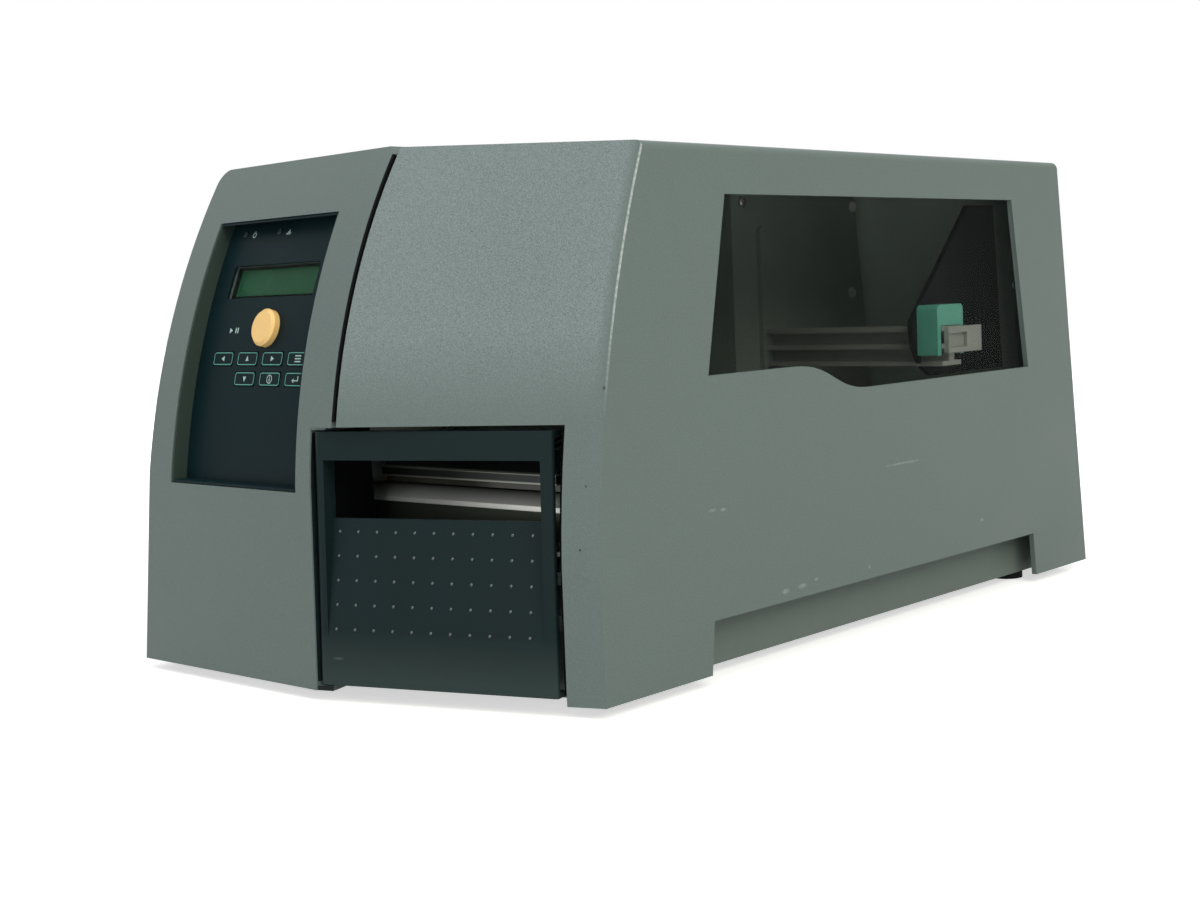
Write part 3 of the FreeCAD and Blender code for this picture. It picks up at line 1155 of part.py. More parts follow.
def nodes():
    pieces = {"base_tray": base_tray()}
    for side, x in (("left", -FOOT_X), ("right", FOOT_X)):
        pieces["foot_front_" + side] = rubber_foot(x, FOOT_FRONT_Y)
        pieces["foot_rear_" + side] = rubber_foot(x, FOOT_REAR_Y)
    pieces["center_wall"] = center_wall()
    pieces["hinge_rail"] = hinge_rail()
    pieces["hinge_rod"] = hinge_line(ROD_RADIUS)
    pieces["left_cover"] = left_cover()
    pieces["front_console"] = front_console()
    pieces["keypad_panel"] = keypad_panel()
    pieces["display_window"] = display_window()
    pieces["lcd_module"] = lcd_module()
    for name, x in INDICATOR_PLACES.items():
        pieces[name] = indicator(x)
    pieces["console_board"] = console_board()
    pieces["feed_button"] = feed_button()
    for name, (x, z) in KEY_PLACES.items():
        pieces[name] = key_pad(x, z)
    pieces["side_door"] = side_door()
    pieces["door_window"] = door_window()
    pieces["front_door"] = front_door()
    pieces["door_catch"] = door_catch()
    pieces["print_frame"] = print_frame()
    pieces["tear_bar"] = tear_bar()
    pieces["platen_bearing_left"] = platen_bearing(WALL_X - SHEET, WALL_X)
    pieces["platen_bearing_right"] = platen_bearing(FRAME_X, FRAME_X - BEARING_FLANGE)
    pieces["platen_roller"] = platen_roller()
    pieces["platen_shaft"] = platen_shaft()
    pieces["platen_pulley"] = pulley(PLATEN_PULLEY_RADIUS, SHAFT_RADIUS, PLATEN_Y, PLATEN_Z)
    pieces["drive_belt"] = drive_belt()
    pieces["motor_bracket"] = motor_bracket()
    pieces["stepper_motor"] = stepper_motor()
    pieces["motor_pulley"] = motor_pulley()
    pieces["thermal_head"] = thermal_head()
    pieces["head_bracket"] = head_bracket()
    pieces["head_shaft"] = rod_x(SHAFT_RADIUS, WALL_X, FRAME_X, HEAD_PIVOT_Y, HEAD_PIVOT_Z)
    pieces["lift_lever"] = lift_lever()
    pieces["gap_sensor"] = gap_sensor()
    pieces["guide_rod"] = rod_x(GUIDE_ROD_RADIUS, WALL_X, FRAME_X, ROD_Y, ROD_Z)
    pieces["edge_guide"] = edge_guide()
    pieces["supply_panel"] = supply_panel()
    pieces["post_bracket"] = post_bracket()
    pieces["supply_post"] = supply_post()
    pieces["roll_retainer"] = roll_retainer()
    pieces["retainer_wing"] = retainer_wing()
    pieces["rear_panel"] = rear_panel()
    pieces["power_inlet"] = panel_insert(INLET, INLET_DEPTH, INLET_RIM, INLET_HOLLOW)
    pieces["switch_bezel"] = panel_insert(SWITCH, SWITCH_DEPTH, SWITCH_RIM, SWITCH_HOLLOW)
    pieces["switch_rocker"] = switch_rocker()
    pieces["parallel_port"] = port(PARALLEL)
    pieces["serial_port"] = port(SERIAL)
    pieces["main_board"] = main_board()
    pieces["power_supply"] = power_supply()
    return pieces


os.makedirs("parts", exist_ok=True)
for name, shape in nodes().items():
    shape.exportStep(os.path.join("parts", name + ".step"))
    print(name, len(shape.Solids), round(shape.Volume), shape.isValid())
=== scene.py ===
import bmesh
import bpy
import json
import math
from mathutils import Matrix, Vector
from mathutils.bvhtree import BVHTree


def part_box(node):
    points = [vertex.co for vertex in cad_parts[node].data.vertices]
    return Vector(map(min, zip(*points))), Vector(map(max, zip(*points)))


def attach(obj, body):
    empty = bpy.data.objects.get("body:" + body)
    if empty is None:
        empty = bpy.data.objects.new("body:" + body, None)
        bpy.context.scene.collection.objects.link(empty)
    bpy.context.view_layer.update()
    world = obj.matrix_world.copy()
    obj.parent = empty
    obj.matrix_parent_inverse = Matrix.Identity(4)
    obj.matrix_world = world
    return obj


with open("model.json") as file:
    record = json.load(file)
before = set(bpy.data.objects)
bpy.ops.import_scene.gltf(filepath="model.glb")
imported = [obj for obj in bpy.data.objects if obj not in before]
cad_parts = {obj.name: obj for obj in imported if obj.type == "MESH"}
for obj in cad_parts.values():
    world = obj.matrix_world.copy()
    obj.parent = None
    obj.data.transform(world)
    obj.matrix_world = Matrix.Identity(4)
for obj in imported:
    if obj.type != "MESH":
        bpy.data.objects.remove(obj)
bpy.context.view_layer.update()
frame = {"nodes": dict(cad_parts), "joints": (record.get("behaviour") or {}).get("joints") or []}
nodes = frame["nodes"]
joints = {joint["name"]: joint for joint in frame["joints"]}


# Base tray and feet
# The tray is one grey ABS moulding that carries the whole printer.
# Four rubber feet are pressed into its underside.
MM = 0.001
NOISE_LOW, NOISE_HIGH = 0.3, 0.7


# A hex sRGB colour as the linear one that a socket takes
def linear(hex_colour):
    channels = [int(hex_colour[i:i + 2], 16) / 255 for i in (1, 3, 5)]
    return [c / 12.92 if c <= 0.04045 else ((c + 0.055) / 1.055) ** 2.4 for c in channels] + [1.0]


# One node with its settings, and with a value or a link in each input that is given
def add(tree, kind, inputs=None, **settings):
    made = tree.nodes.new(kind)
    for name, value in settings.items():
        setattr(made, name, value)
    for socket, value in (inputs or {}).items():
        if isinstance(value, bpy.types.NodeSocket):
            tree.links.new(value, made.inputs[socket])
        else:
            made.inputs[socket].default_value = value
    return made


# A surface with cloudy changes of tone and gloss, and a pebbled grain where it has one. Sizes are in
# millimetres. Real grain is 0.2 to 0.4 mm wide and too fine to show, so it is drawn coarser.
def surface(name, colour, roughness, cloud=25.0, tone=0.06, gloss=0.06, grain=0.0, depth=0.03, **sockets):
    made = bpy.data.materials.new(name)
    made.use_nodes = True
    tree = made.node_tree
    tree.nodes.clear()
    place = add(tree, "ShaderNodeTexCoord").outputs["Object"]
    cloudy = add(tree, "ShaderNodeTexNoise", {"Vector": place, "Scale": 1 / (cloud * MM), "Detail": 4.0})
    shade = add(tree, "ShaderNodeMapRange", {
        "Value": cloudy.outputs["Fac"], "From Min": NOISE_LOW, "From Max": NOISE_HIGH,
        "To Min": 1 - tone, "To Max": 1 + tone})
    toned = add(tree, "ShaderNodeHueSaturation", {"Value": shade.outputs["Result"], "Color": linear(colour)})
    rough = add(tree, "ShaderNodeMapRange", {
        "Value": cloudy.outputs["Fac"], "From Min": NOISE_LOW, "From Max": NOISE_HIGH,
        "To Min": roughness - gloss, "To Max": roughness + gloss})
    inputs = {"Base Color": toned.outputs["Color"], "Roughness": rough.outputs["Result"]}
    inputs.update({socket.replace("_", " "): value for socket, value in sockets.items()})
    shader = add(tree, "ShaderNodeBsdfPrincipled", inputs)
    if grain:
        pebbles = add(tree, "ShaderNodeTexNoise", {"Vector": place, "Scale": 1 / (grain * MM), "Detail": 2.0})
        bump = add(tree, "ShaderNodeBump", {"Height": pebbles.outputs["Fac"], "Distance": depth * MM})
        tree.links.new(bump.outputs["Normal"], shader.inputs["Normal"])
    add(tree, "ShaderNodeOutputMaterial", {"Surface": shader.outputs[0]})
    return made, tree, shader, place


def dress(made, *names):
    for name in names:
        mesh = nodes[name].data
        mesh.materials.clear()
        mesh.materials.append(made)


# Moulded ABS of the base: a dull, faintly grained grey-green skin.
tray_abs, *_ = surface("moulded_abs_base_grey", "#6C7872", 0.55, grain=1.2, depth=0.05,
                       Specular_IOR_Level=0.2)
dress(tray_abs, "base_tray")
# Rubber: black and matt, greyed by dust in soft clouds.
foot_rubber, *_ = surface("black_rubber", "#191A1B", 0.8, cloud=6.0, tone=0.2, Specular_IOR_Level=0.2)
dress(foot_rubber, "foot_front_left", "foot_front_right", "foot_rear_left", "foot_rear_right")


# Inner sheet metal
# The center wall, the raised supply panel and the hinge rail are folded steel sheet, powder coated
# grey-green. They are riveted and screwed to the tray and to each other.
# Powder coat: an even, pebbled and half-matt skin.
powder_coat, *_ = surface("powder_coated_steel", "#86938A", 0.5, grain=0.9)
dress(powder_coat, "center_wall", "hinge_rail", "supply_panel", "post_bracket", "motor_bracket")
# Zinc plated steel: bright grey metal with a soft, cloudy shine.
zinc_steel, *_ = surface("zinc_plated_steel", "#B4B5AF", 0.36, cloud=8.0, tone=0.08, gloss=0.1, Metallic=1.0)
dress(zinc_steel, "hinge_rod", "print_frame", "door_catch", "power_supply")


# Print mechanism
# Rubber platen on a steel shaft, black aluminium head carrier with its ceramic strip, and a ground steel
# tear bar. They hang between the center wall and the steel side plate.
STREAK_LENGTH = 120.0
STREAK_WIDTH = 0.25
BRUSHED_LEAST, BRUSHED_MOST = 0.28, 0.46


# Ground steel: brushed along its length, so that it shines in long fine streaks.
def ground(name):
    made, tree, shader, place = surface(name, "#EFEFE8", 0.36, Metallic=0.5)
    streak = add(tree, "ShaderNodeMapping", {
        "Vector": place, "Scale": [1 / (size * MM) for size in (STREAK_LENGTH, STREAK_WIDTH, STREAK_WIDTH)]})
    brushed = add(tree, "ShaderNodeTexNoise", {
        "Vector": streak.outputs["Vector"], "Scale": 1.0, "Detail": 3.0})
    rough = add(tree, "ShaderNodeMapRange", {
        "Value": brushed.outputs["Fac"], "To Min": BRUSHED_LEAST, "To Max": BRUSHED_MOST})
    tree.links.new(rough.outputs["Result"], shader.inputs["Roughness"])
    return made, tree, shader, place


# A share that goes from 0 to 1 between two places along an axis, in millimetres
def climb(tree, place, axis, start, end):
    apart = add(tree, "ShaderNodeSeparateXYZ", {0: place})
    return add(tree, "ShaderNodeMapRange", {
        "Value": apart.outputs[axis], "From Min": start * MM, "From Max": end * MM}).outputs["Result"]


# Another colour over a finish, as strong as the share says
def tint(tree, shader, share, colour):
    plain = shader.inputs["Base Color"].links[0].from_socket
    mixed = add(tree, "ShaderNodeMix", {0: share, 6: plain, 7: linear(colour)}, data_type="RGBA")
    tree.links.new(mixed.outputs[2], shader.inputs["Base Color"])


shaft_steel, *_ = ground("ground_steel")
dress(shaft_steel, "platen_shaft", "head_shaft", "guide_rod")
# The tear bar is bright on its nose. Above the nose the plate darkens towards the top as painted shade, and
# below the nose it is darker.
tear_steel, tree, shader, place = ground("ground_steel_painted_shade")
NOSE_DROP = 8.1
TEAR_SHADE_START = 1.5
UNDER_NOSE_BLEND = 0.3
bar_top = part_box("tear_bar")[1].z / MM
nose_low = bar_top - NOSE_DROP
# Painted shade: the plate above the nose darkens towards the top; the next tint darkens it below the nose.
tint(tree, shader, climb(tree, place, "Z", nose_low + TEAR_SHADE_START, bar_top), "#343730")
tint(tree, shader, climb(tree, place, "Z", nose_low + UNDER_NOSE_BLEND, nose_low - UNDER_NOSE_BLEND), "#3C4238")
dress(tear_steel, "tear_bar")
# Black anodised aluminium: dark and dull, with painted highlights along both edges of its front bar.
head_alloy, tree, shader, place = surface("black_anodised_aluminium", "#2A2D2C", 0.4, grain=1.5, Metallic=0.7)
BAR_HEIGHT = 5.4
BRIGHT_EDGE = 0.5
bar_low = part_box("head_bracket")[0].z / MM
# A painted highlight runs along each edge of the front bar.
for edge in (bar_low, bar_low + BAR_HEIGHT - 2 * BRIGHT_EDGE):
    above = climb(tree, place, "Z", edge - BRIGHT_EDGE, edge)
    below = climb(tree, place, "Z", edge + 2 * BRIGHT_EDGE, edge + BRIGHT_EDGE)
    painted_highlight = add(tree, "ShaderNodeMath", {0: above, 1: below}, operation="MULTIPLY")
    tint(tree, shader, painted_highlight.outputs["Value"], "#8A8C85")
dress(head_alloy, "head_bracket")
# Die-cast aluminium: pale grey and dull, with a fine sandy skin.
cast_aluminium, *_ = surface("die_cast_aluminium", "#A5A7A2", 0.42, grain=1.5, Metallic=1.0)
dress(cast_aluminium, "platen_pulley", "motor_pulley")
# Sintered bronze: warm brown metal, slightly rough.
sintered_bronze, *_ = surface("sintered_bronze", "#9C7A45", 0.45, cloud=3.0, tone=0.1, Metallic=1.0)
dress(sintered_bronze, "platen_bearing_left", "platen_bearing_right")
# Glazed alumina, smooth; its colour is darkened to brown-grey as painted shade of the slot it sits in.
glazed_ceramic_painted_shade, *_ = surface("glazed_ceramic_painted_shade", "#3B3A33", 0.2, cloud=12.0, tone=0.15, Specular_IOR_Level=0.3)
dress(glazed_ceramic_painted_shade, "thermal_head")
# Silicone rubber: black with a faint sheen, ground smooth.
platen_rubber, *_ = surface("silicone_rubber", "#1E2020", 0.6, cloud=9.0, tone=0.12, Specular_IOR_Level=0.3)
dress(platen_rubber, "platen_roller", "drive_belt")
# Acetal moulded in teal: a smooth half-gloss plastic.
teal_acetal, *_ = surface("teal_acetal", "#5DAF98", 0.36, cloud=15.0, Specular_IOR_Level=0.3)
dress(teal_acetal, "lift_lever", "edge_guide", "roll_retainer")
# Black ABS: plain and half-matt.
black_abs, *_ = surface("black_abs", "#131617", 0.45, grain=0.8, depth=0.02, Specular_IOR_Level=0.15)
dress(black_abs, "gap_sensor", "stepper_motor", "power_inlet", "switch_bezel", "switch_rocker",
      "parallel_port", "serial_port")


# Media supply
# A ribbed grey ABS post stands out from the supply panel on its steel bracket.
# The teal retainer with its dark plate slides along it against the roll.
# Grey ABS: plain, with a soft shine.
grey_abs, *_ = surface("grey_abs", "#959B91", 0.45, grain=1.0, depth=0.02, Specular_IOR_Level=0.3)
dress(grey_abs, "supply_post")
# Charcoal ABS of the retainer's plate: smooth and dark.
plate_abs, *_ = surface("charcoal_abs", "#101416", 0.4, Specular_IOR_Level=0.05)
dress(plate_abs, "retainer_wing")


# Electronics
# Two boards of pressed glass fibre, lacquered green, one behind the console and one beside the center wall.
# Each stands off on short pillars.
# Solder mask: a glossy dark green lacquer, with a fine weave showing through.
solder_mask, *_ = surface("green_solder_mask", "#1C5B34", 0.3, cloud=4.0, tone=0.12, grain=0.6, depth=0.01)
dress(solder_mask, "main_board", "console_board")


# Screws
# Zinc plated pan-head screws with a cross recess hold the sheet metal and the rear panel.
# White nylon rivets are snapped into the supply panel.
SCREW_RADIUS = 3.2
SCREW_HEIGHT = 2.2
SCREW_SIDES = 24
RIM_SHARE = 0.45
DOME_STEPS = (0.35, 0.65, 0.9)
CROSS_REACH = 1.7
CROSS_WIDTH = 0.8
CROSS_DEPTH = 1.2
BIT_OVER = 1.0


# The finished mesh of a shape, with its faces outwards
def meshed(name, bm):
    bmesh.ops.recalc_face_normals(bm, faces=bm.faces)
    mesh = bpy.data.meshes.new(name)
    bm.to_mesh(mesh)
    bm.free()
    return mesh


# A solid turned round the Z axis, from pairs of radius and height that start and end in the middle
def turned(name, outline, sides):
    bm = bmesh.new()
    rings = []
    for radius, height in outline:
        angles = [2 * math.pi * step / sides for step in range(sides if radius else 1)]
        rings.append([bm.verts.new((radius * math.cos(a) * MM, radius * math.sin(a) * MM, height * MM))
                      for a in angles])
    for low, high in zip(rings, rings[1:]):
        for step in range(sides):
            after = (step + 1) % sides
            corners = [low[step % len(low)], low[after % len(low)],
                       high[after % len(high)], high[step % len(high)]]
            bm.faces.new(list(dict.fromkeys(corners)))
    return meshed(name, bm)


def block(bm, low, high):
    made = bmesh.ops.create_cube(bm, size=1.0)["verts"]
    middle = (Vector(low) + Vector(high)) / 2
    size = Vector(high) - Vector(low)
    for vert in made:
        vert.co = Vector([(c * s + m) * MM for c, s, m in zip(vert.co, size, middle)])


def stand(name, data):
    made = bpy.data.objects.new(name, data)
    bpy.context.collection.objects.link(made)
    return made


# The mesh that an object's modifiers give; the object itself goes
def settled(helper):
    bpy.context.view_layer.update()
    mesh = bpy.data.meshes.new_from_object(helper.evaluated_get(bpy.context.evaluated_depsgraph_get()))
    helper.modifiers.clear()
    bpy.data.objects.remove(helper)
    return mesh


def cross_head():
    dome = [(0, 0), (SCREW_RADIUS, 0), (SCREW_RADIUS, SCREW_HEIGHT * RIM_SHARE)]
    for share in DOME_STEPS:
        dome.append((SCREW_RADIUS * math.cos(share * math.pi / 2) ** 0.5,
                     SCREW_HEIGHT * (RIM_SHARE + (1 - RIM_SHARE) * math.sin(share * math.pi / 2))))
    dome.append((0, SCREW_HEIGHT))
    head = stand("screw_blank", turned("screw_blank", dome, SCREW_SIDES))
    bm = bmesh.new()
    for across, along in ((CROSS_REACH, CROSS_WIDTH / 2), (CROSS_WIDTH / 2, CROSS_REACH)):
        block(bm, (-across, -along, SCREW_HEIGHT - CROSS_DEPTH), (across, along, SCREW_HEIGHT + BIT_OVER))
    driver = stand("driver_bit", meshed("driver_bit", bm))
    cut = head.modifiers.new("cross", "BOOLEAN")
    cut.object = driver
    cut.use_self = True
    mesh = settled(head)
    bpy.data.objects.remove(driver)
    return mesh


# A tree of Geometry Nodes with named inputs, and the sockets that give them
def shape_tree(name, inputs, output):
    tree = bpy.data.node_groups.new(name, "GeometryNodeTree")
    for label, kind in inputs.items():
        tree.interface.new_socket(label, in_out="INPUT", socket_type="NodeSocket" + kind)
    tree.interface.new_socket(output, in_out="OUTPUT", socket_type="NodeSocketGeometry")
    return tree, add(tree, "NodeGroupInput").outputs


# The end of such a tree: real meshes with their finish
def end_tree(tree, geometry, finish, output):
    real = add(tree, "GeometryNodeRealizeInstances", {"Geometry": geometry})
    coated = add(tree, "GeometryNodeSetMaterial", {"Geometry": real.outputs["Geometry"], "Material": finish})
    add(tree, "NodeGroupOutput", {output: coated.outputs["Geometry"]})


# The plain mesh that a tree makes from a mesh and its named inputs
def shaped(name, mesh, tree, values):
    carrier = stand(name, mesh)
    modifier = carrier.modifiers.new(name, "NODES")
    modifier.node_group = tree
    for socket in tree.interface.items_tree:
        if socket.name in values:
            modifier[socket.identifier] = values[socket.name]
    return settled(carrier)


# One item on every point, turned to face the way that the point's own attribute says
spread_tree, given = shape_tree("spread_over_points", {
    "Points": "Geometry", "Item": "Object", "Size": "Float", "Finish": "Material"}, "Pieces")
item = add(spread_tree, "GeometryNodeObjectInfo", {"Object": given["Item"]})
facing = add(spread_tree, "GeometryNodeInputNamedAttribute", {"Name": "facing"}, data_type="FLOAT_VECTOR")
aimed = add(spread_tree, "FunctionNodeAlignRotationToVector", {
    "Vector": facing.outputs["Attribute"]}, axis="Z")
spread_out = add(spread_tree, "GeometryNodeInstanceOnPoints", {
    "Points": given["Points"], "Instance": item.outputs["Geometry"],
    "Rotation": aimed.outputs["Rotation"], "Scale": given["Size"]})
end_tree(spread_tree, spread_out.outputs["Instances"], given["Finish"], "Pieces")


# A finished piece on the body that carries it
def fixed(name, mesh, finish, body):
    mesh.materials.clear()
    mesh.materials.append(finish)
    made = stand(name, mesh)
    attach(made, body)


# Like pieces at places that each give a point and the way to face, as one piece
def spread(name, places, mesh, finish, body, size=1.0):
    dots = bpy.data.meshes.new(name + "_points")
    dots.from_pydata([point for point, _ in places], [], [])
    ways = dots.attributes.new("facing", "FLOAT_VECTOR", "POINT")
    for way, (_, direction) in zip(ways.data, places):
        way.vector = direction
    sample = stand(name + "_item", mesh)
    shape = shaped(name + "_points", dots, spread_tree, {"Item": sample, "Size": size, "Finish": finish})
    bpy.data.objects.remove(sample)
    fixed(name, shape, finish, body)


# Where a straight line from a point first meets a node: the place and the way the node faces there
def seat(node, start, direction):
    mesh = nodes[node].data
    skin = BVHTree.FromPolygons([v.co for v in mesh.vertices], [p.vertices for p in mesh.polygons])
    point, normal, *_ = skin.ray_cast(Vector(start) * MM, Vector(direction))
    return point, -normal if normal.dot(Vector(direction)) > 0 else normal


LEFTWARD, FRONTWARD = (-1, 0, 0), (0, -1, 0)
IN_BAY, BESIDE_FRAME, BEHIND = 60, 132, 300
FRAME_SCREW_SIZE = 0.9
RIVET_SIDES = 20
SUPPLY_SCREWS = ((82, 232), (82, 40), (196, 40))
SUPPLY_RIVETS = ((199, 230), (196, 175.5))
FRAME_SCREWS = ((-180, 112), (-160, 20), (-127, 20), (-127, 62))
REAR_SCREWS = [(x, z) for x in (-128, 0, 126) for z in (16, 125, 236)]
screw_mesh = cross_head()
spread("supply_screws", [seat("supply_panel", (IN_BAY, y, z), LEFTWARD) for y, z in SUPPLY_SCREWS],
       screw_mesh, zinc_steel, "chassis")
# Nylon: white, smooth and a little waxy.
nylon, *_ = surface("white_nylon", "#DFE1DC", 0.35, cloud=3.0, tone=0.04)
rivet = turned("rivet", [(0, 0), (3.4, 0), (3.2, 1.0), (2.2, 2.0), (0, 2.4)], RIVET_SIDES)
spread("supply_rivets", [seat("supply_panel", (IN_BAY, y, z), LEFTWARD) for y, z in SUPPLY_RIVETS],
       rivet, nylon, "chassis")
spread("frame_screws", [seat("print_frame", (BESIDE_FRAME, y, z), LEFTWARD) for y, z in FRAME_SCREWS],
       screw_mesh, zinc_steel, "chassis", FRAME_SCREW_SIZE)
spread("rear_screws", [seat("rear_panel", (x, BEHIND, z), FRONTWARD) for x, z in REAR_SCREWS],
       screw_mesh, zinc_steel, "chassis")


# Rear panel and connectors
# The panel is steel sheet, coated outside and left in its primer inside. Three tinned blades stand in the
# mains inlet, gilt pins fill both ports, and hexagonal posts take the plug screws, all in black housings.
REARWARD = (0, 1, 0)
BARE_X, BARE_Z = 60, 100
BAY_REAR = 150
SHEET_BLEND = 0.3
EDGE_SHADE_START, EDGE_SHADE_FULL = 78.0, 104.0
# Powder coat outside, near the grey of the casing. The pale green inside is partly the primer's own dull
# colour and partly painted light for the dim bay; towards the right edge it darkens as painted shade.
rear_coat, tree, shader, place = surface("powder_coated_steel_dark", "#697471", 0.5, grain=0.9)
outside, rear_way = seat("rear_panel", (BARE_X, BEHIND, BARE_Z), FRONTWARD)
inside = seat("rear_panel", (BARE_X, BAY_REAR, BARE_Z), REARWARD)[0]
sheet_middle = (outside + inside).dot(rear_way) / 2
through = add(tree, "ShaderNodeVectorMath", {0: place, 1: rear_way}, operation="DOT_PRODUCT")
primed = add(tree, "ShaderNodeMapRange", {
    "Value": through.outputs["Value"], "From Min": sheet_middle + SHEET_BLEND * MM,
    "From Max": sheet_middle - SHEET_BLEND * MM})
# Painted light on the inside face, fading towards the right edge as painted shade.
painted_light_share = add(tree, "ShaderNodeMath", {
    0: primed.outputs["Result"], 1: climb(tree, place, "X", EDGE_SHADE_FULL, EDGE_SHADE_START)}, operation="MULTIPLY")
tint(tree, shader, painted_light_share.outputs["Value"], "#C8DACC")
dress(rear_coat, "rear_panel")


# A block between two corners, with its edges rounded
def bevelled(name, low, high, edge):
    bm = bmesh.new()
    block(bm, low, high)
    bmesh.ops.bevel(bm, geom=bm.edges[:], offset=edge * MM, segments=2, profile=0.5, affect="EDGES")
    return meshed(name, bm)


INLET_X, INLET_Z = -100.0, 48.0
BLADE_PLACES = ((-7, -3), (0, 3), (7, -3))
BLADE_WIDE, BLADE_HIGH, BLADE_LONG, BLADE_EDGE = 2.0, 6.0, 9.0, 0.4
blade = bevelled("inlet_blade", (-BLADE_WIDE / 2, -BLADE_HIGH / 2, 0),
                 (BLADE_WIDE / 2, BLADE_HIGH / 2, BLADE_LONG), BLADE_EDGE)
spread("inlet_blades", [(seat("power_inlet", (INLET_X + x, BEHIND, INLET_Z + z), FRONTWARD)[0], rear_way)
                        for x, z in BLADE_PLACES], blade, zinc_steel, "chassis")
# Each port: the height of its middle, the pins in a row and their spacing
PORTS = {"parallel_port": (92.0, 13, 3.2), "serial_port": (116.0, 5, 4.4)}
PORT_X = -82.0
PIN_ROWS = ((1.6, 0.0), (-1.6, 0.5))
PIN_SIDES = 10
POST_INSET = 1.6
POST_RADIUS = 2.2
POST_SIDES = 6
pins, posts = [], []
for port, (z, columns, pitch) in PORTS.items():
    low, high = [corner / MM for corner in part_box(port)]
    for row, shift in PIN_ROWS:
        for column in range(columns):
            x = PORT_X + (column + shift - columns / 2) * pitch
            pins.append((seat(port, (x, BEHIND, z + row), FRONTWARD)[0], rear_way))
    for x in (low.x + POST_INSET, high.x - POST_INSET):
        posts.append((seat(port, (x, BEHIND, z), FRONTWARD)[0], rear_way))
# Gold plate on the contacts: warm and bright.
gilt, *_ = surface("gold_plate", "#C9A24B", 0.25, cloud=3.0, Metallic=1.0)
pin = turned("port_pin", [(0, 0), (0.55, 0), (0.55, 0.7), (0.3, 1.1), (0, 1.2)], PIN_SIDES)
spread("port_pins", pins, pin, gilt, "chassis")
jack_post = turned("jack_post", [(0, 0), (POST_RADIUS, 0), (POST_RADIUS, 3.4), (1.4, 3.6), (1.2, 2.0),
                                 (0, 2.0)], POST_SIDES)
spread("jack_posts", posts, jack_post, zinc_steel, "chassis")


# Casing
# Left cover, console and side door are grey ABS mouldings with a fine spark-eroded grain.
# The cover and the console are screwed to the tray, the door hangs on a rod along the top seam.
CASING_GREY = "#687572"
GRAIN_SIZE = 1.1
FLECK_SIZE = 0.7
FLECK_LOW, FLECK_HIGH = 0.35, 0.65
FLECK_DARK, FLECK_PALE = 0.94, 1.06


# Moulded ABS, grey with a green cast: pebbled, half-matt and finely flecked.
def casing_abs(name):
    made, tree, shader, place = surface(name, CASING_GREY, 0.48, cloud=70.0, tone=0.03,
                                        grain=GRAIN_SIZE, depth=0.05, Specular_IOR_Level=0.25)
    flecks = add(tree, "ShaderNodeTexNoise", {"Vector": place, "Scale": 1 / (FLECK_SIZE * MM), "Detail": 1.0})
    light = add(tree, "ShaderNodeMapRange", {
        "Value": flecks.outputs["Fac"], "From Min": FLECK_LOW, "From Max": FLECK_HIGH,
        "To Min": FLECK_DARK, "To Max": FLECK_PALE})
    smooth = shader.inputs["Base Color"].links[0].from_socket
    flecked = add(tree, "ShaderNodeHueSaturation", {"Value": light.outputs["Result"], "Color": smooth})
    tree.links.new(flecked.outputs["Color"], shader.inputs["Base Color"])
    return made, tree, shader, place


cover_abs, *_ = casing_abs("moulded_abs_grey_green")
dress(cover_abs, "left_cover", "front_console")
# The door has the marks of use: pale scuffs low on the wall and dark nicks. A pale line down its front corner
# is a painted highlight, and pale specks on its curved front are a painted sheen.
door_abs, tree, shader, place = casing_abs("moulded_abs_grey_green_worn_and_sheen")
RAGGED_SIZE = 1.6
RUB_RIM, RUB_CORE = 1.0, 0.3
RUB_FAINT, RUB_FULL = 0.2, 0.65
SCUFF_PALE = "#909A95"
NICK_DARK = "#1B2020"
# Middle and half size of each mark
SCUFFS = [
    ((138, -124, 81.3), (2, 4.5, 1.3)), ((138, -116, 80.6), (2, 3.5, 1.2)), ((138, 40, 86.4), (2, 30, 0.9)),
    ((138, 121, 45.6), (2, 4, 1.4)), ((138, -69, 35), (2, 5, 2.2)), ((138, -55, 35.5), (2, 6, 2.0)),
    ((138, -43, 37), (2, 3, 1.2)), ((138, 5, 36), (2, 2.4, 1.5)),
]
NICKS = [
    ((136.8, -193.6, 142.4), (1.5, 1.8, 1.5)), ((131.3, -201.7, 100.6), (0.8, 1.2, 1.3)),
    ((129, -204.7, 73.6), (0.8, 1.2, 1.0)),
]


# A ragged patch inside an ellipsoid round a place
def rub(tree, shader, place, ragged, middle, half, tone):
    near = add(tree, "ShaderNodeMapping", {
        "Vector": place, "Location": [c * MM for c in middle], "Scale": [c * MM for c in half]},
        vector_type="TEXTURE")
    far = add(tree, "ShaderNodeVectorMath", {0: near.outputs["Vector"]}, operation="LENGTH")
    spot = add(tree, "ShaderNodeMapRange", {
        "Value": far.outputs["Value"], "From Min": RUB_RIM, "From Max": RUB_CORE})
    patchy = add(tree, "ShaderNodeMath", {
        0: spot.outputs["Result"], 1: ragged.outputs["Fac"]}, operation="MULTIPLY")
    share = add(tree, "ShaderNodeMapRange", {
        "Value": patchy.outputs["Value"], "From Min": RUB_FAINT, "From Max": RUB_FULL})
    tint(tree, shader, share.outputs["Result"], tone)


ragged = add(tree, "ShaderNodeTexNoise", {"Vector": place, "Scale": 1 / (RAGGED_SIZE * MM), "Detail": 5.0})
for marks, tone in ((SCUFFS, SCUFF_PALE), (NICKS, NICK_DARK)):
    for middle, half in marks:
        rub(tree, shader, place, ragged, middle, half, tone)
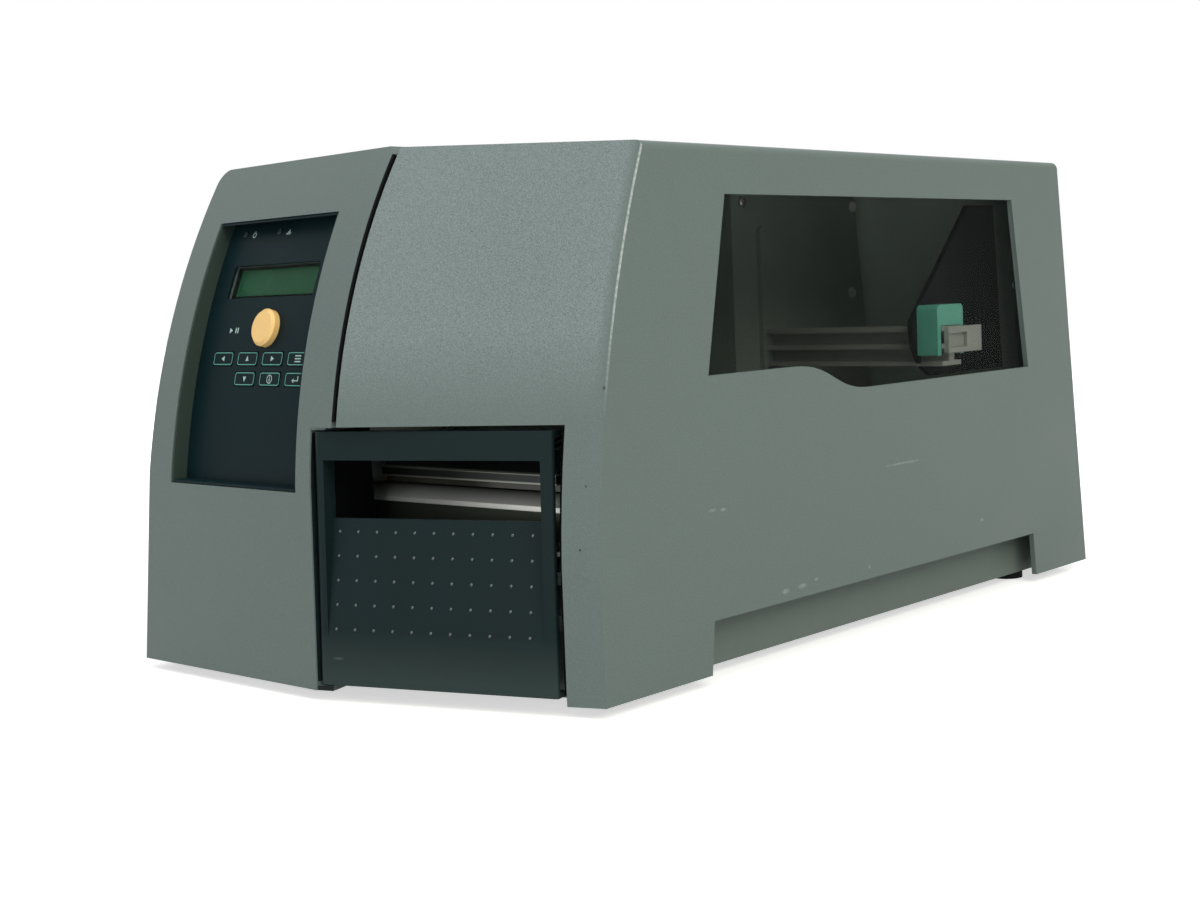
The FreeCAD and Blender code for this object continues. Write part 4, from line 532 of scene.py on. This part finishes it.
# The painted highlight lies where the wall meets the curved front: one arc, seen along X, paler towards the
# top.
ARC_Y, ARC_Z = 355.4, 42.4
ARC_RADIUS = 557.7
LINE_HALF, LINE_CORE = 0.6, 0.4
BROKEN_LOW, BROKEN_HIGH = 0.1, 0.7
WALL_START, WALL_FULL = 137.0, 137.5
HIGHLIGHT_START, HIGHLIGHT_FULL = 130.0, 190.0
from_middle = add(tree, "ShaderNodeMapping", {
    "Vector": place, "Scale": (0.0, 1.0, 1.0), "Location": (0, -ARC_Y * MM, -ARC_Z * MM)})
reach = add(tree, "ShaderNodeVectorMath", {0: from_middle.outputs["Vector"]}, operation="LENGTH")
off_arc = add(tree, "ShaderNodeMath", {0: reach.outputs["Value"], 1: ARC_RADIUS * MM}, operation="SUBTRACT")
away = add(tree, "ShaderNodeMath", {0: off_arc.outputs["Value"]}, operation="ABSOLUTE")
on_line = add(tree, "ShaderNodeMapRange", {
    "Value": away.outputs["Value"], "From Min": LINE_HALF * MM, "From Max": LINE_CORE * LINE_HALF * MM})
at_corner = add(tree, "ShaderNodeMath", {
    0: on_line.outputs["Result"], 1: climb(tree, place, "X", WALL_START, WALL_FULL)}, operation="MULTIPLY")
fading = add(tree, "ShaderNodeMath", {
    0: at_corner.outputs["Value"], 1: climb(tree, place, "Z", HIGHLIGHT_START, HIGHLIGHT_FULL)}, operation="MULTIPLY")
broken = add(tree, "ShaderNodeMapRange", {
    "Value": ragged.outputs["Fac"], "From Min": BROKEN_LOW, "From Max": BROKEN_HIGH})
# Painted highlight along the corner.
corner_highlight = add(tree, "ShaderNodeMath", {
    0: fading.outputs["Value"], 1: broken.outputs["Result"]}, operation="MULTIPLY")
tint(tree, shader, corner_highlight.outputs["Value"], "#C6CECA")
# A painted sheen pales the tops of the grain on the curved front, more towards the top.
SPECK_SIZE = 0.5
SHEEN_LEAST, SHEEN_MOST = 0.04, 0.42
FRONT_START, FRONT_FULL = 137.0, 132.0
SHEEN_START, SHEEN_FULL = 130.0, 168.0
specks = add(tree, "ShaderNodeTexNoise", {"Vector": place, "Scale": 1 / (SPECK_SIZE * MM), "Detail": 1.0})
pale = add(tree, "ShaderNodeMapRange", {
    "Value": specks.outputs["Fac"], "From Min": FLECK_LOW, "From Max": FLECK_HIGH,
    "To Min": SHEEN_LEAST, "To Max": SHEEN_MOST})
front = add(tree, "ShaderNodeMath", {
    0: climb(tree, place, "X", FRONT_START, FRONT_FULL),
    1: climb(tree, place, "Z", SHEEN_START, SHEEN_FULL)}, operation="MULTIPLY")
# Painted sheen in specks over the curved front.
painted_sheen = add(tree, "ShaderNodeMath", {
    0: front.outputs["Value"], 1: pale.outputs["Result"]}, operation="MULTIPLY")
tint(tree, shader, painted_sheen.outputs["Value"], "#A9B6B8")
dress(door_abs, "side_door")


# Keypad
# A dark polycarbonate tray is glued into the recess of the console, with the display, seven keys,
# a round feed button and two indicator lenses standing through it. The signs are screen printed.
# Screen-printed polycarbonate: near black, with a silky sheen.
overlay, tree, shader, place = surface("printed_polycarbonate", "#0F2125", 0.42, cloud=40.0, tone=0.08,
                                       Specular_IOR_Level=0.05)
# The tray's left wall is drawn paler as painted light, where light falls on it.
LIT_WALL_REACH, LIT_WALL_BLEND = 1.5, 0.25
panel_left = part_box("keypad_panel")[0].x / MM
tint(tree, shader, climb(tree, place, "X", panel_left + LIT_WALL_REACH,
                         panel_left + LIT_WALL_REACH - LIT_WALL_BLEND), "#394640")
dress(overlay, "keypad_panel", *[name for name in nodes if name.startswith("key_")])
# Black ABS frame of the display.
dress(black_abs, "lcd_module")
# Clear acrylic over the display: smooth and glossy, and nearly unseen.
display_cover, *_ = surface("clear_acrylic", "#16241C", 0.08, gloss=0.03, Alpha=0.12, Specular_IOR_Level=0.08)
dress(display_cover, "display_window")
# Amber ABS of the feed button: warm, smooth and half-matt.
amber_abs, *_ = surface("amber_abs", "#FFD285", 0.4, cloud=8.0, tone=0.03)
dress(amber_abs, "feed_button")
# Frosted lens of an unlit indicator: grey and smooth.
frosted_lens, *_ = surface("frosted_lens", "#2B3638", 0.25, cloud=1.0)
dress(frosted_lens, "indicator_power", "indicator_status")
INK_RISE = 0.06
HOOP_PARTS = 28
ARROW = ((1.5, 0), (-1.1, 1.35), (-1.1, -1.35))


# A frame on a face: across, up and out of the face
def face_frame(point, normal):
    across = Vector((0, 0, 1)).cross(normal).normalized()
    upward = normal.cross(across)
    return Matrix.Translation(point) @ Matrix((across, upward, normal)).transposed().to_4x4()


# Thin raised outlines, each a list of corners in millimetres, laid on a frame
def printed(name, outlines, place, finish, body):
    bm = bmesh.new()
    for outline in outlines:
        low = [bm.verts.new((x * MM, y * MM, 0)) for x, y in outline]
        high = [bm.verts.new((x * MM, y * MM, INK_RISE * MM)) for x, y in outline]
        bm.faces.new(high)
        bm.faces.new(low[::-1])
        for step in range(len(outline)):
            after = (step + 1) % len(outline)
            bm.faces.new((low[step], low[after], high[after], high[step]))
    mesh = meshed(name, bm)
    mesh.transform(place)
    fixed(name, mesh, finish, body)


def bar(x0, x1, y0, y1):
    return [(x0, y0), (x1, y0), (x1, y1), (x0, y1)]


def hoop(outer, inner, start=0.0, turn=360.0):
    steps = [math.radians(start + turn * step / HOOP_PARTS) for step in range(HOOP_PARTS + 1)]
    return [[(outer * math.cos(a), outer * math.sin(a)), (outer * math.cos(b), outer * math.sin(b)),
             (inner * math.cos(b), inner * math.sin(b)), (inner * math.cos(a), inner * math.sin(a))]
            for a, b in zip(steps, steps[1:])]


def arrow(degrees):
    turn = math.radians(degrees)
    return [(x * math.cos(turn) - y * math.sin(turn), x * math.sin(turn) + y * math.cos(turn))
            for x, y in ARROW]


# Pale grey-green screen ink of the signs: flat and dull.
sign_ink, *_ = surface("pale_screen_ink", "#B2CFC8", 0.6, cloud=1.5, tone=0.12, Specular_IOR_Level=0.1)
# Teal screen ink of the key outlines: flat and dull too.
line_ink, *_ = surface("teal_screen_ink", "#66A89C", 0.6, cloud=1.5, tone=0.12, Specular_IOR_Level=0.1)

# The outline of a key: a rounded rectangle of thin ink
KEY_WIDTH, KEY_HEIGHT = 17.2, 6.9
KEY_INSET = 0.5
KEY_CORNER = 1.1
KEY_LINE = 0.5
CORNER_STEPS = 6
STROKE_SIDES = 6
INK_FLATNESS = 0.2
outline_tree, given = shape_tree("key_outline", {
    "Width": "Float", "Height": "Float", "Corner": "Float", "Line": "Float", "Finish": "Material"}, "Outline")
box_line = add(outline_tree, "GeometryNodeCurvePrimitiveQuadrilateral", {
    "Width": given["Width"], "Height": given["Height"]}, mode="RECTANGLE")
rounded = add(outline_tree, "GeometryNodeFilletCurve", {
    "Curve": box_line.outputs[0], "Count": CORNER_STEPS, "Radius": given["Corner"]}, mode="POLY")
half_line = add(outline_tree, "ShaderNodeMath", {0: given["Line"], 1: 0.5}, operation="MULTIPLY")
stroke = add(outline_tree, "GeometryNodeCurvePrimitiveCircle", {
    "Resolution": STROKE_SIDES, "Radius": half_line.outputs["Value"]})
swept = add(outline_tree, "GeometryNodeCurveToMesh", {
    "Curve": rounded.outputs["Curve"], "Profile Curve": stroke.outputs["Curve"]})
flat = add(outline_tree, "GeometryNodeTransform", {
    "Geometry": swept.outputs["Mesh"], "Scale": (1.0, 1.0, INK_FLATNESS)})
end_tree(outline_tree, flat.outputs["Geometry"], given["Finish"], "Outline")
key_line = shaped("key_line", bpy.data.meshes.new("key_line"), outline_tree, {
    "Width": (KEY_WIDTH - 2 * KEY_INSET) * MM, "Height": (KEY_HEIGHT - 2 * KEY_INSET) * MM,
    "Corner": KEY_CORNER * MM, "Line": KEY_LINE * MM, "Finish": line_ink})
GLYPHS = {
    "key_left": [arrow(180)], "key_up": [arrow(90)], "key_right": [arrow(0)], "key_down": [arrow(270)],
    "key_setup": [bar(-2.4, 2.4, y - 0.3, y + 0.3) for y in (-1.4, 0.0, 1.4)],
    "key_info": hoop(2.2, 1.8) + [bar(-0.3, 0.3, -1.2, 0.4), bar(-0.3, 0.3, 0.8, 1.3)],
    "key_enter": [bar(-1.6, 2.3, -0.9, -0.35), bar(1.75, 2.3, -0.35, 1.5),
                  [(-2.8, -0.62), (-1.3, 0.5), (-1.3, -1.75)]],
}
for key, glyph in GLYPHS.items():
    inward = Vector(joints[key + "_press"]["axis"])
    low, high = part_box(key)
    middle = (low + high) / 2
    face = min(vert.co.dot(inward) for vert in nodes[key].data.vertices)
    key_place = face_frame(middle + inward * (face - middle.dot(inward)), -inward)
    ring = key_line.copy()
    ring.transform(key_place)
    fixed(key + "_outline", ring, line_ink, key)
    printed(key + "_sign", glyph, key_place, sign_ink, key)

# Signs on the panel: a start mark and rising bars beside the indicators, a feed arrow beside the button
AHEAD = -400
PANEL_SIGNS = {
    "power_sign": ((-94, 218.9), hoop(1.6, 1.15, 120, 300) + [bar(-0.22, 0.22, 0.5, 2.0)]),
    "status_sign": ((-63, 218.7), [bar(-1.8, -1.2, -1.2, -0.2), bar(-0.8, -0.2, -1.2, 0.6),
                                   bar(0.2, 0.8, -1.2, 1.4), bar(1.2, 1.8, -1.2, 0.2)]),
    "feed_sign": ((-88, 171.2), [[(x - 4.0, y) for x, y in arrow(0)], bar(0.0, 0.8, -1.4, 1.4),
                                 bar(1.8, 2.6, -1.4, 1.4)]),
}
for name, ((x, z), outlines) in PANEL_SIGNS.items():
    printed(name, outlines, face_frame(*seat("keypad_panel", (x, AHEAD, z), REARWARD)), sign_ink,
            "chassis")

# The marks for on and off are printed on the two halves of the power rocker.
SWITCH_X, SWITCH_Z = -62.0, 48.0
ROCKER_SIGNS = {"rocker_on": (4.6, [bar(-0.35, 0.35, -1.4, 1.4)]), "rocker_off": (-4.6, hoop(1.5, 1.0))}
for name, (rise, outlines) in ROCKER_SIGNS.items():
    spot = seat("switch_rocker", (SWITCH_X, BEHIND, SWITCH_Z + rise), FRONTWARD)
    printed(name, outlines, face_frame(*spot), sign_ink, "switch_rocker")

# The glass of the display, deep in its frame: dark green, smooth and faintly cloudy.
lcd_green, *_ = surface("liquid_crystal_glass", "#22613F", 0.25, cloud=30.0, tone=0.12,
                        Specular_IOR_Level=0.1)
GLASS_WIDTH, GLASS_HEIGHT = 73.4, 15.4
GLASS_BACK, GLASS_FRONT, GLASS_EDGE = 0.02, 1.1, 0.15
DISPLAY_X, DISPLAY_Z = -65.0, 194.8
glass = bevelled("lcd_glass", (-GLASS_WIDTH / 2, -GLASS_HEIGHT / 2, GLASS_BACK),
                 (GLASS_WIDTH / 2, GLASS_HEIGHT / 2, GLASS_FRONT), GLASS_EDGE)
glass.transform(face_frame(*seat("lcd_module", (DISPLAY_X, AHEAD, DISPLAY_Z), REARWARD)))
fixed("lcd_glass", glass, lcd_green, "chassis")


# Seam
# A strip of black foam down the edge of the console fills the seam to the side door as painted shade.
# It lies just below the skin, and follows the curve of the console's face.
SEAM_X = 13.0
CONSOLE_INSET = 0.3
STRIP_SHEET = 1.5
STRIP_DROP, STRIP_DEPTH = 0.2, 4.0
STRIP_LOW, STRIP_HIGH, STRIP_PARTS = 129.5, 251.0, 35


# Evenly spaced values from start to end
def even(start, end, parts):
    return [start + (end - start) * step / parts for step in range(parts + 1)]


# A closed strip through rows of four corners, in millimetres
def strip(name, rows, finish, body):
    bm = bmesh.new()
    rings = [[bm.verts.new(Vector(corner) * MM) for corner in row] for row in rows]
    for low, high in zip(rings, rings[1:]):
        for step in range(4):
            after = (step + 1) % 4
            bm.faces.new((low[step], low[after], high[after], high[step]))
    bm.faces.new(rings[0])
    bm.faces.new(rings[-1])
    fixed(name, meshed(name, bm), finish, body)


# Foam: black and dull, with open pores.
foam, *_ = surface("black_foam", "#0B0D0D", 0.9, cloud=2.0, tone=0.2, grain=0.6, Specular_IOR_Level=0.1)
rows = []
for z in even(STRIP_LOW, STRIP_HIGH, STRIP_PARTS):
    point, normal = seat("front_console", (SEAM_X - CONSOLE_INSET, AHEAD, z), REARWARD)
    outer, inner = [point / MM - normal * sunk for sunk in (STRIP_DROP, STRIP_DEPTH)]
    rows.append([(x, spot.y, spot.z) for x, spot in (
        (SEAM_X, outer), (SEAM_X + STRIP_SHEET, outer), (SEAM_X + STRIP_SHEET, inner), (SEAM_X, inner))])
# The black strip is painted shade in the seam.
strip("seam_foam", rows, foam, "chassis")
# Two more strips stand on the inside of the rear panel's upper edge and close the slit below the roof.
# Near the seam they take their height from beside it, clear of the door's rounded edge.
UPWARD = (0, 0, 1)
SEAL_SHEET = 3.0
SEAL_HOLD = 5.0
SEAL_PARTS = 12
ROOF_GAP = 0.4
BAY_MIDDLE = -20
COVER_EDGE, DOOR_EDGE = 11.5, 15.6
seal_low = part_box("rear_panel")[1].z / MM - SEAL_HOLD
for roof, start, end in (("left_cover", -130.0, 14.15), ("side_door", 14.2, 130.0)):
    rows = []
    for x in even(start, end, SEAL_PARTS):
        below = min(x, COVER_EDGE) if roof == "left_cover" else max(x, DOOR_EDGE)
        back = seat("rear_panel", (x, BAY_MIDDLE, seal_low), REARWARD)[0].y / MM
        under = seat(roof, (below, back - SEAL_SHEET, seal_low), UPWARD)[0].z / MM - ROOF_GAP
        rows.append([(x, y, z) for y, z in (
            (back - SEAL_SHEET, seal_low), (back, seal_low), (back, under), (back - SEAL_SHEET, under))])
    strip("roof_seal_" + roof, rows, foam, "chassis")


# Window
# A sheet of smoked acrylic lies against the inside of the side door, round the wavy opening.
# Small domes of the door's own plastic, melted over its margin, hold it.
RIGHTWARD = (1, 0, 0)
STAKE_SIDES = 16
STAKES = ([(y, 228.6) for y in (-100, -48, 4, 56, 108, 158)]
          + [(-116, 140), (-75, 140), (80, 125.8), (126, 125.8), (172, 125.8), (-118, 184), (173, 177)])
# Smoked acrylic: dark, clear and glossy, with the faint haze of handling.
smoked, *_ = surface("smoked_acrylic", "#0B120C", 0.1, cloud=45.0, gloss=0.04, Alpha=0.14,
                     Specular_IOR_Level=0.1)
dress(smoked, "door_window")
stake = turned("stake", [(0, 0), (2.2, 0), (2.2, 0.5), (1.7, 1.1), (0.8, 1.4), (0, 1.45)], STAKE_SIDES)
spread("window_stakes", [seat("door_window", (IN_BAY, y, z), RIGHTWARD) for y, z in STAKES], stake, door_abs,
       "side_door")


# Front door
# A dark ABS frame round the label slot, with a sloping chute below it, that hangs on two pins in the
# console. Rows of small pips on the chute keep a label from sticking.
# Moulded ABS, nearly black with a blue-green cast and a fine grain.
flap_abs, tree, shader, place = surface("moulded_abs_blue_black", "#172527", 0.42, grain=1.0, depth=0.04,
                                        Specular_IOR_Level=0.08)
# A painted reflection of the floor greys its foot, and a smear of gum has dried low on the left.
BOUNCE_HIGH, BOUNCE_LOW = 34.0, 12.0
SMEAR_MIDDLE, SMEAR_HALF = (11.5, -243.6, 20.6), (6.0, 2.5, 1.0)
SMEAR_GRAIN = 2.5
# Painted reflection of the floor, paler towards the foot.
tint(tree, shader, climb(tree, place, "Z", BOUNCE_HIGH, BOUNCE_LOW), "#33403E")
ragged = add(tree, "ShaderNodeTexNoise", {"Vector": place, "Scale": 1 / (SMEAR_GRAIN * MM), "Detail": 5.0})
rub(tree, shader, place, ragged, SMEAR_MIDDLE, SMEAR_HALF, "#4C5856")
dress(flap_abs, "front_door")
# The door's own frame: along the face, into the printer, up, from the pivot at its foot
FACE_X, FACE_Z = 60, 118
hinge = joints["front_door_hinge"]
pivot = Vector(hinge["pos_m"])
door_up = -Vector(hinge["axis"])
door_out = seat("front_door", (FACE_X, AHEAD, FACE_Z), REARWARD)[1]
door_along = (-door_out).cross(door_up)
door_place = Matrix((door_along, -door_out, door_up)).transposed().to_4x4()
door_place.translation = pivot
PIP_COLUMNS, PIP_ROWS = 11, 5
PIP_FIRST_ALONG, PIP_FIRST_UP = 6.0, 26.0
PIP_PITCH_ALONG, PIP_PITCH_UP = 9.9, 11.1
PIP_SIDES = 12
BEFORE_DOOR = 60
pips = []
for row in range(PIP_ROWS):
    for column in range(PIP_COLUMNS):
        spot = pivot + door_along * (PIP_FIRST_ALONG + column * PIP_PITCH_ALONG) * MM
        spot += door_up * (PIP_FIRST_UP + row * PIP_PITCH_UP) * MM + door_out * BEFORE_DOOR * MM
        pips.append(seat("front_door", spot / MM, -door_out))
# Tops of the pips: the same plastic, polished by the labels, and drawn paler than the door as a painted
# highlight.
pip_abs, *_ = surface("polished_and_highlit_abs", "#2C393B", 0.24, cloud=2.0, tone=0.15,
                      Specular_IOR_Level=0.7)
pip = turned("chute_pip", [(0, 0), (0.85, 0), (0.75, 0.3), (0.4, 0.55), (0, 0.6)], PIP_SIDES)
spread("chute_pips", pips, pip, pip_abs, "front_door")
# A white nylon tooth behind the free edge snaps on the catch.
TOOTH_LOW, TOOTH_HIGH, TOOTH_EDGE = (113.4, 2.4, 61.4), (117.6, 4.8, 63.2), 0.4
tooth = bevelled("catch_tooth", TOOTH_LOW, TOOTH_HIGH, TOOTH_EDGE)
tooth.transform(door_place)
fixed("catch_tooth", tooth, nylon, "front_door")
# A black cap closes the lower bearing of the hinge, as painted shade over the ear.
CAP_LOW, CAP_HIGH, CAP_EDGE = (-5.5, -3.1, -3.1), (3.1, -2.82, -0.9), 0.1
cap = bevelled("bearing_cap", CAP_LOW, CAP_HIGH, CAP_EDGE)
cap.transform(door_place)
fixed("bearing_cap", cap, black_abs, "chassis")


# Liners
# Two strips of black flock film are painted shade in the gaps beside the front door. One is stuck to the
# console's wall beside the front door's hinge, the other to the inside of the side door beside the front
# door's free edge.
LINER_SHEET = 0.22
LINER_LOW, HINGE_LINER_HIGH, EDGE_LINER_HIGH = 9.0, 124.0, 123.0
HINGE_LINER_PARTS, EDGE_LINER_PARTS = 23, 12
GLUE = 0.02
LINER_FRONT, LINER_SHADED = -244.0, -240.0
# Flock: dull and black, paler at its front edge and darker behind it as painted shade.
liner_film, tree, shader, place = surface("black_flock", "#1A2628", 0.9, cloud=3.0, tone=0.2, grain=0.5,
                                          Specular_IOR_Level=0.05)
# Painted shade: the film darkens behind its front edge.
tint(tree, shader, climb(tree, place, "Y", LINER_FRONT, LINER_SHADED), "#0A0C0C")
WALL_GAP = 4.6
WALL_INSET = 0.8
LINER_SETBACK = 0.8
LINER_BACK = -206.0
foot = pivot / MM
rows = []
for z in even(LINER_LOW, HINGE_LINER_HIGH, HINGE_LINER_PARTS):
    wall = foot.x - WALL_GAP + (z - foot.z) * door_up.x / door_up.z
    edge = seat("front_console", (wall - WALL_INSET, AHEAD, z), REARWARD)[0].y / MM + LINER_SETBACK
    rows.append([(x, y, z) for x, y in (
        (wall + GLUE, edge), (wall + LINER_SHEET, edge), (wall + LINER_SHEET, LINER_BACK),
        (wall + GLUE, LINER_BACK))])
strip("hinge_liner", rows, liner_film, "chassis")
IN_SIDE_DOOR = -150
EDGE_START, EDGE_END = 118.2, 128.0
FIRST_PROBE, LAST_PROBE = 124.0, 130.0
rows = []
for z in even(LINER_LOW, EDGE_LINER_HIGH, EDGE_LINER_PARTS):
    first, last = [seat("side_door", (x, IN_SIDE_DOOR, z), FRONTWARD)[0].y / MM
                   for x in (FIRST_PROBE, LAST_PROBE)]
    slope = (last - first) / (LAST_PROBE - FIRST_PROBE)
    near, far = [first + slope * (x - FIRST_PROBE) + GLUE for x in (EDGE_START, EDGE_END)]
    rows.append([(x, y, z) for x, y in (
        (EDGE_START, near), (EDGE_END, far), (EDGE_END, far + LINER_SHEET),
        (EDGE_START, near + LINER_SHEET))])
strip("edge_liner", rows, liner_film, "side_door")


# Stage, light and camera
# A plain pale floor under soft lamps, seen from the front right corner a little above the table.
# Floor and sky are white to the camera, to mirrors and to glass, and the floor keeps the shadow.
FLOOR_HALF = 6.0
GLOW_START, GLOW_END = 0.35, 1.3
GLOW_LEAST, GLOW_MOST = 0.6, 1.0
AMBIENT = 0.31
AIM = (0.0, 0.0, 0.12)


# A share that is 1 for what the camera, mirrors and glass see
def in_sight(tree):
    path = add(tree, "ShaderNodeLightPath").outputs
    direct = add(tree, "ShaderNodeMath", {0: path["Is Camera Ray"], 1: path["Is Transmission Ray"]},
                 operation="MAXIMUM")
    return add(tree, "ShaderNodeMath", {0: direct.outputs["Value"], 1: path["Is Glossy Ray"]},
               operation="MAXIMUM").outputs["Value"]


floor_mesh = bpy.data.meshes.new("floor")
floor_mesh.from_pydata([(x * FLOOR_HALF, y * FLOOR_HALF, 0) for x, y in ((-1, -1), (1, -1), (1, 1), (-1, 1))],
                       [], [(0, 1, 2, 3)])
floor = stand("floor", floor_mesh)
paper = bpy.data.materials.new("pale_floor")
paper.use_nodes = True
tree = paper.node_tree
tree.nodes.clear()
place = add(tree, "ShaderNodeTexCoord").outputs["Object"]
reach = add(tree, "ShaderNodeVectorMath", {0: place}, operation="LENGTH")
glow_level = add(tree, "ShaderNodeMapRange", {
    "Value": reach.outputs["Value"], "From Min": GLOW_START, "From Max": GLOW_END,
    "To Min": GLOW_LEAST, "To Max": GLOW_MOST})
plain = add(tree, "ShaderNodeBsdfDiffuse", {"Color": linear("#E6E6E4")})
glow = add(tree, "ShaderNodeEmission", {"Color": linear("#FFFFFF"), "Strength": glow_level.outputs["Result"]})
lit = add(tree, "ShaderNodeAddShader", {0: plain.outputs[0], 1: glow.outputs[0]})
seen = add(tree, "ShaderNodeMixShader", {"Fac": in_sight(tree), 1: plain.outputs[0], 2: lit.outputs[0]})
add(tree, "ShaderNodeOutputMaterial", {"Surface": seen.outputs[0]})
floor_mesh.materials.append(paper)

world = bpy.context.scene.world or bpy.data.worlds.new("studio")
bpy.context.scene.world = world
world.use_nodes = True
tree = world.node_tree
tree.nodes.clear()
ambient = add(tree, "ShaderNodeBackground", {"Color": linear("#FFFFFF"), "Strength": AMBIENT})
white = add(tree, "ShaderNodeBackground", {"Color": linear("#FFFFFF"), "Strength": 1.0})
sky = add(tree, "ShaderNodeMixShader", {"Fac": in_sight(tree), 1: ambient.outputs[0], 2: white.outputs[0]})
add(tree, "ShaderNodeOutputWorld", {"Surface": sky.outputs[0]})

# Place, size, power and colour of each lamp, in metres and watts
LAMPS = {
    "key_lamp": ((1.65, -0.6, 1.45), 1.4, 24, "#FFFCF0"),
    "front_lamp": ((0.2, -2.0, 0.45), 0.8, 5, "#F6FBFF"),
    "top_lamp": ((0.2, -0.5, 2.0), 1.6, 12, "#F6FBFF"),
    "rear_lamp": ((-1.6, 1.1, 1.0), 1.4, 16, "#FFFFFF"),
}
for name, (spot, size, power, colour) in LAMPS.items():
    data = bpy.data.lights.new(name, "AREA")
    data.size = size
    data.energy = power
    data.color = linear(colour)[:3]
    lamp = stand(name, data)
    lamp.location = spot
    lamp.rotation_euler = (Vector(AIM) - Vector(spot)).to_track_quat("-Z", "Y").to_euler()

# The lens that gives the photograph's perspective, for a picture 1200 pixels wide
PICTURE_WIDTH = 1200
FOCAL_PIXELS = 1728.0
SENSOR = 36.0
CAMERA_PLACE = Vector((0.62572, -0.74175, 0.18422))
YAW, PITCH, ROLL = 0.7322145, -0.0926526, -0.0415217
camera_data = bpy.data.cameras.new("camera")
camera_data.sensor_width = SENSOR
camera_data.lens = FOCAL_PIXELS / PICTURE_WIDTH * SENSOR
camera = stand("camera", camera_data)
forward = Vector((-math.sin(YAW) * math.cos(PITCH), math.cos(YAW) * math.cos(PITCH), math.sin(PITCH)))
level = Vector((math.cos(YAW), math.sin(YAW), 0))
upright = level.cross(forward)
right = level * math.cos(ROLL) + upright * math.sin(ROLL)
up = upright * math.cos(ROLL) - level * math.sin(ROLL)
camera.matrix_world = Matrix.Translation(CAMERA_PLACE) @ Matrix((right, up, -forward)).transposed().to_4x4()
bpy.context.scene.camera = camera
bpy.context.scene.view_settings.view_transform = "Standard"
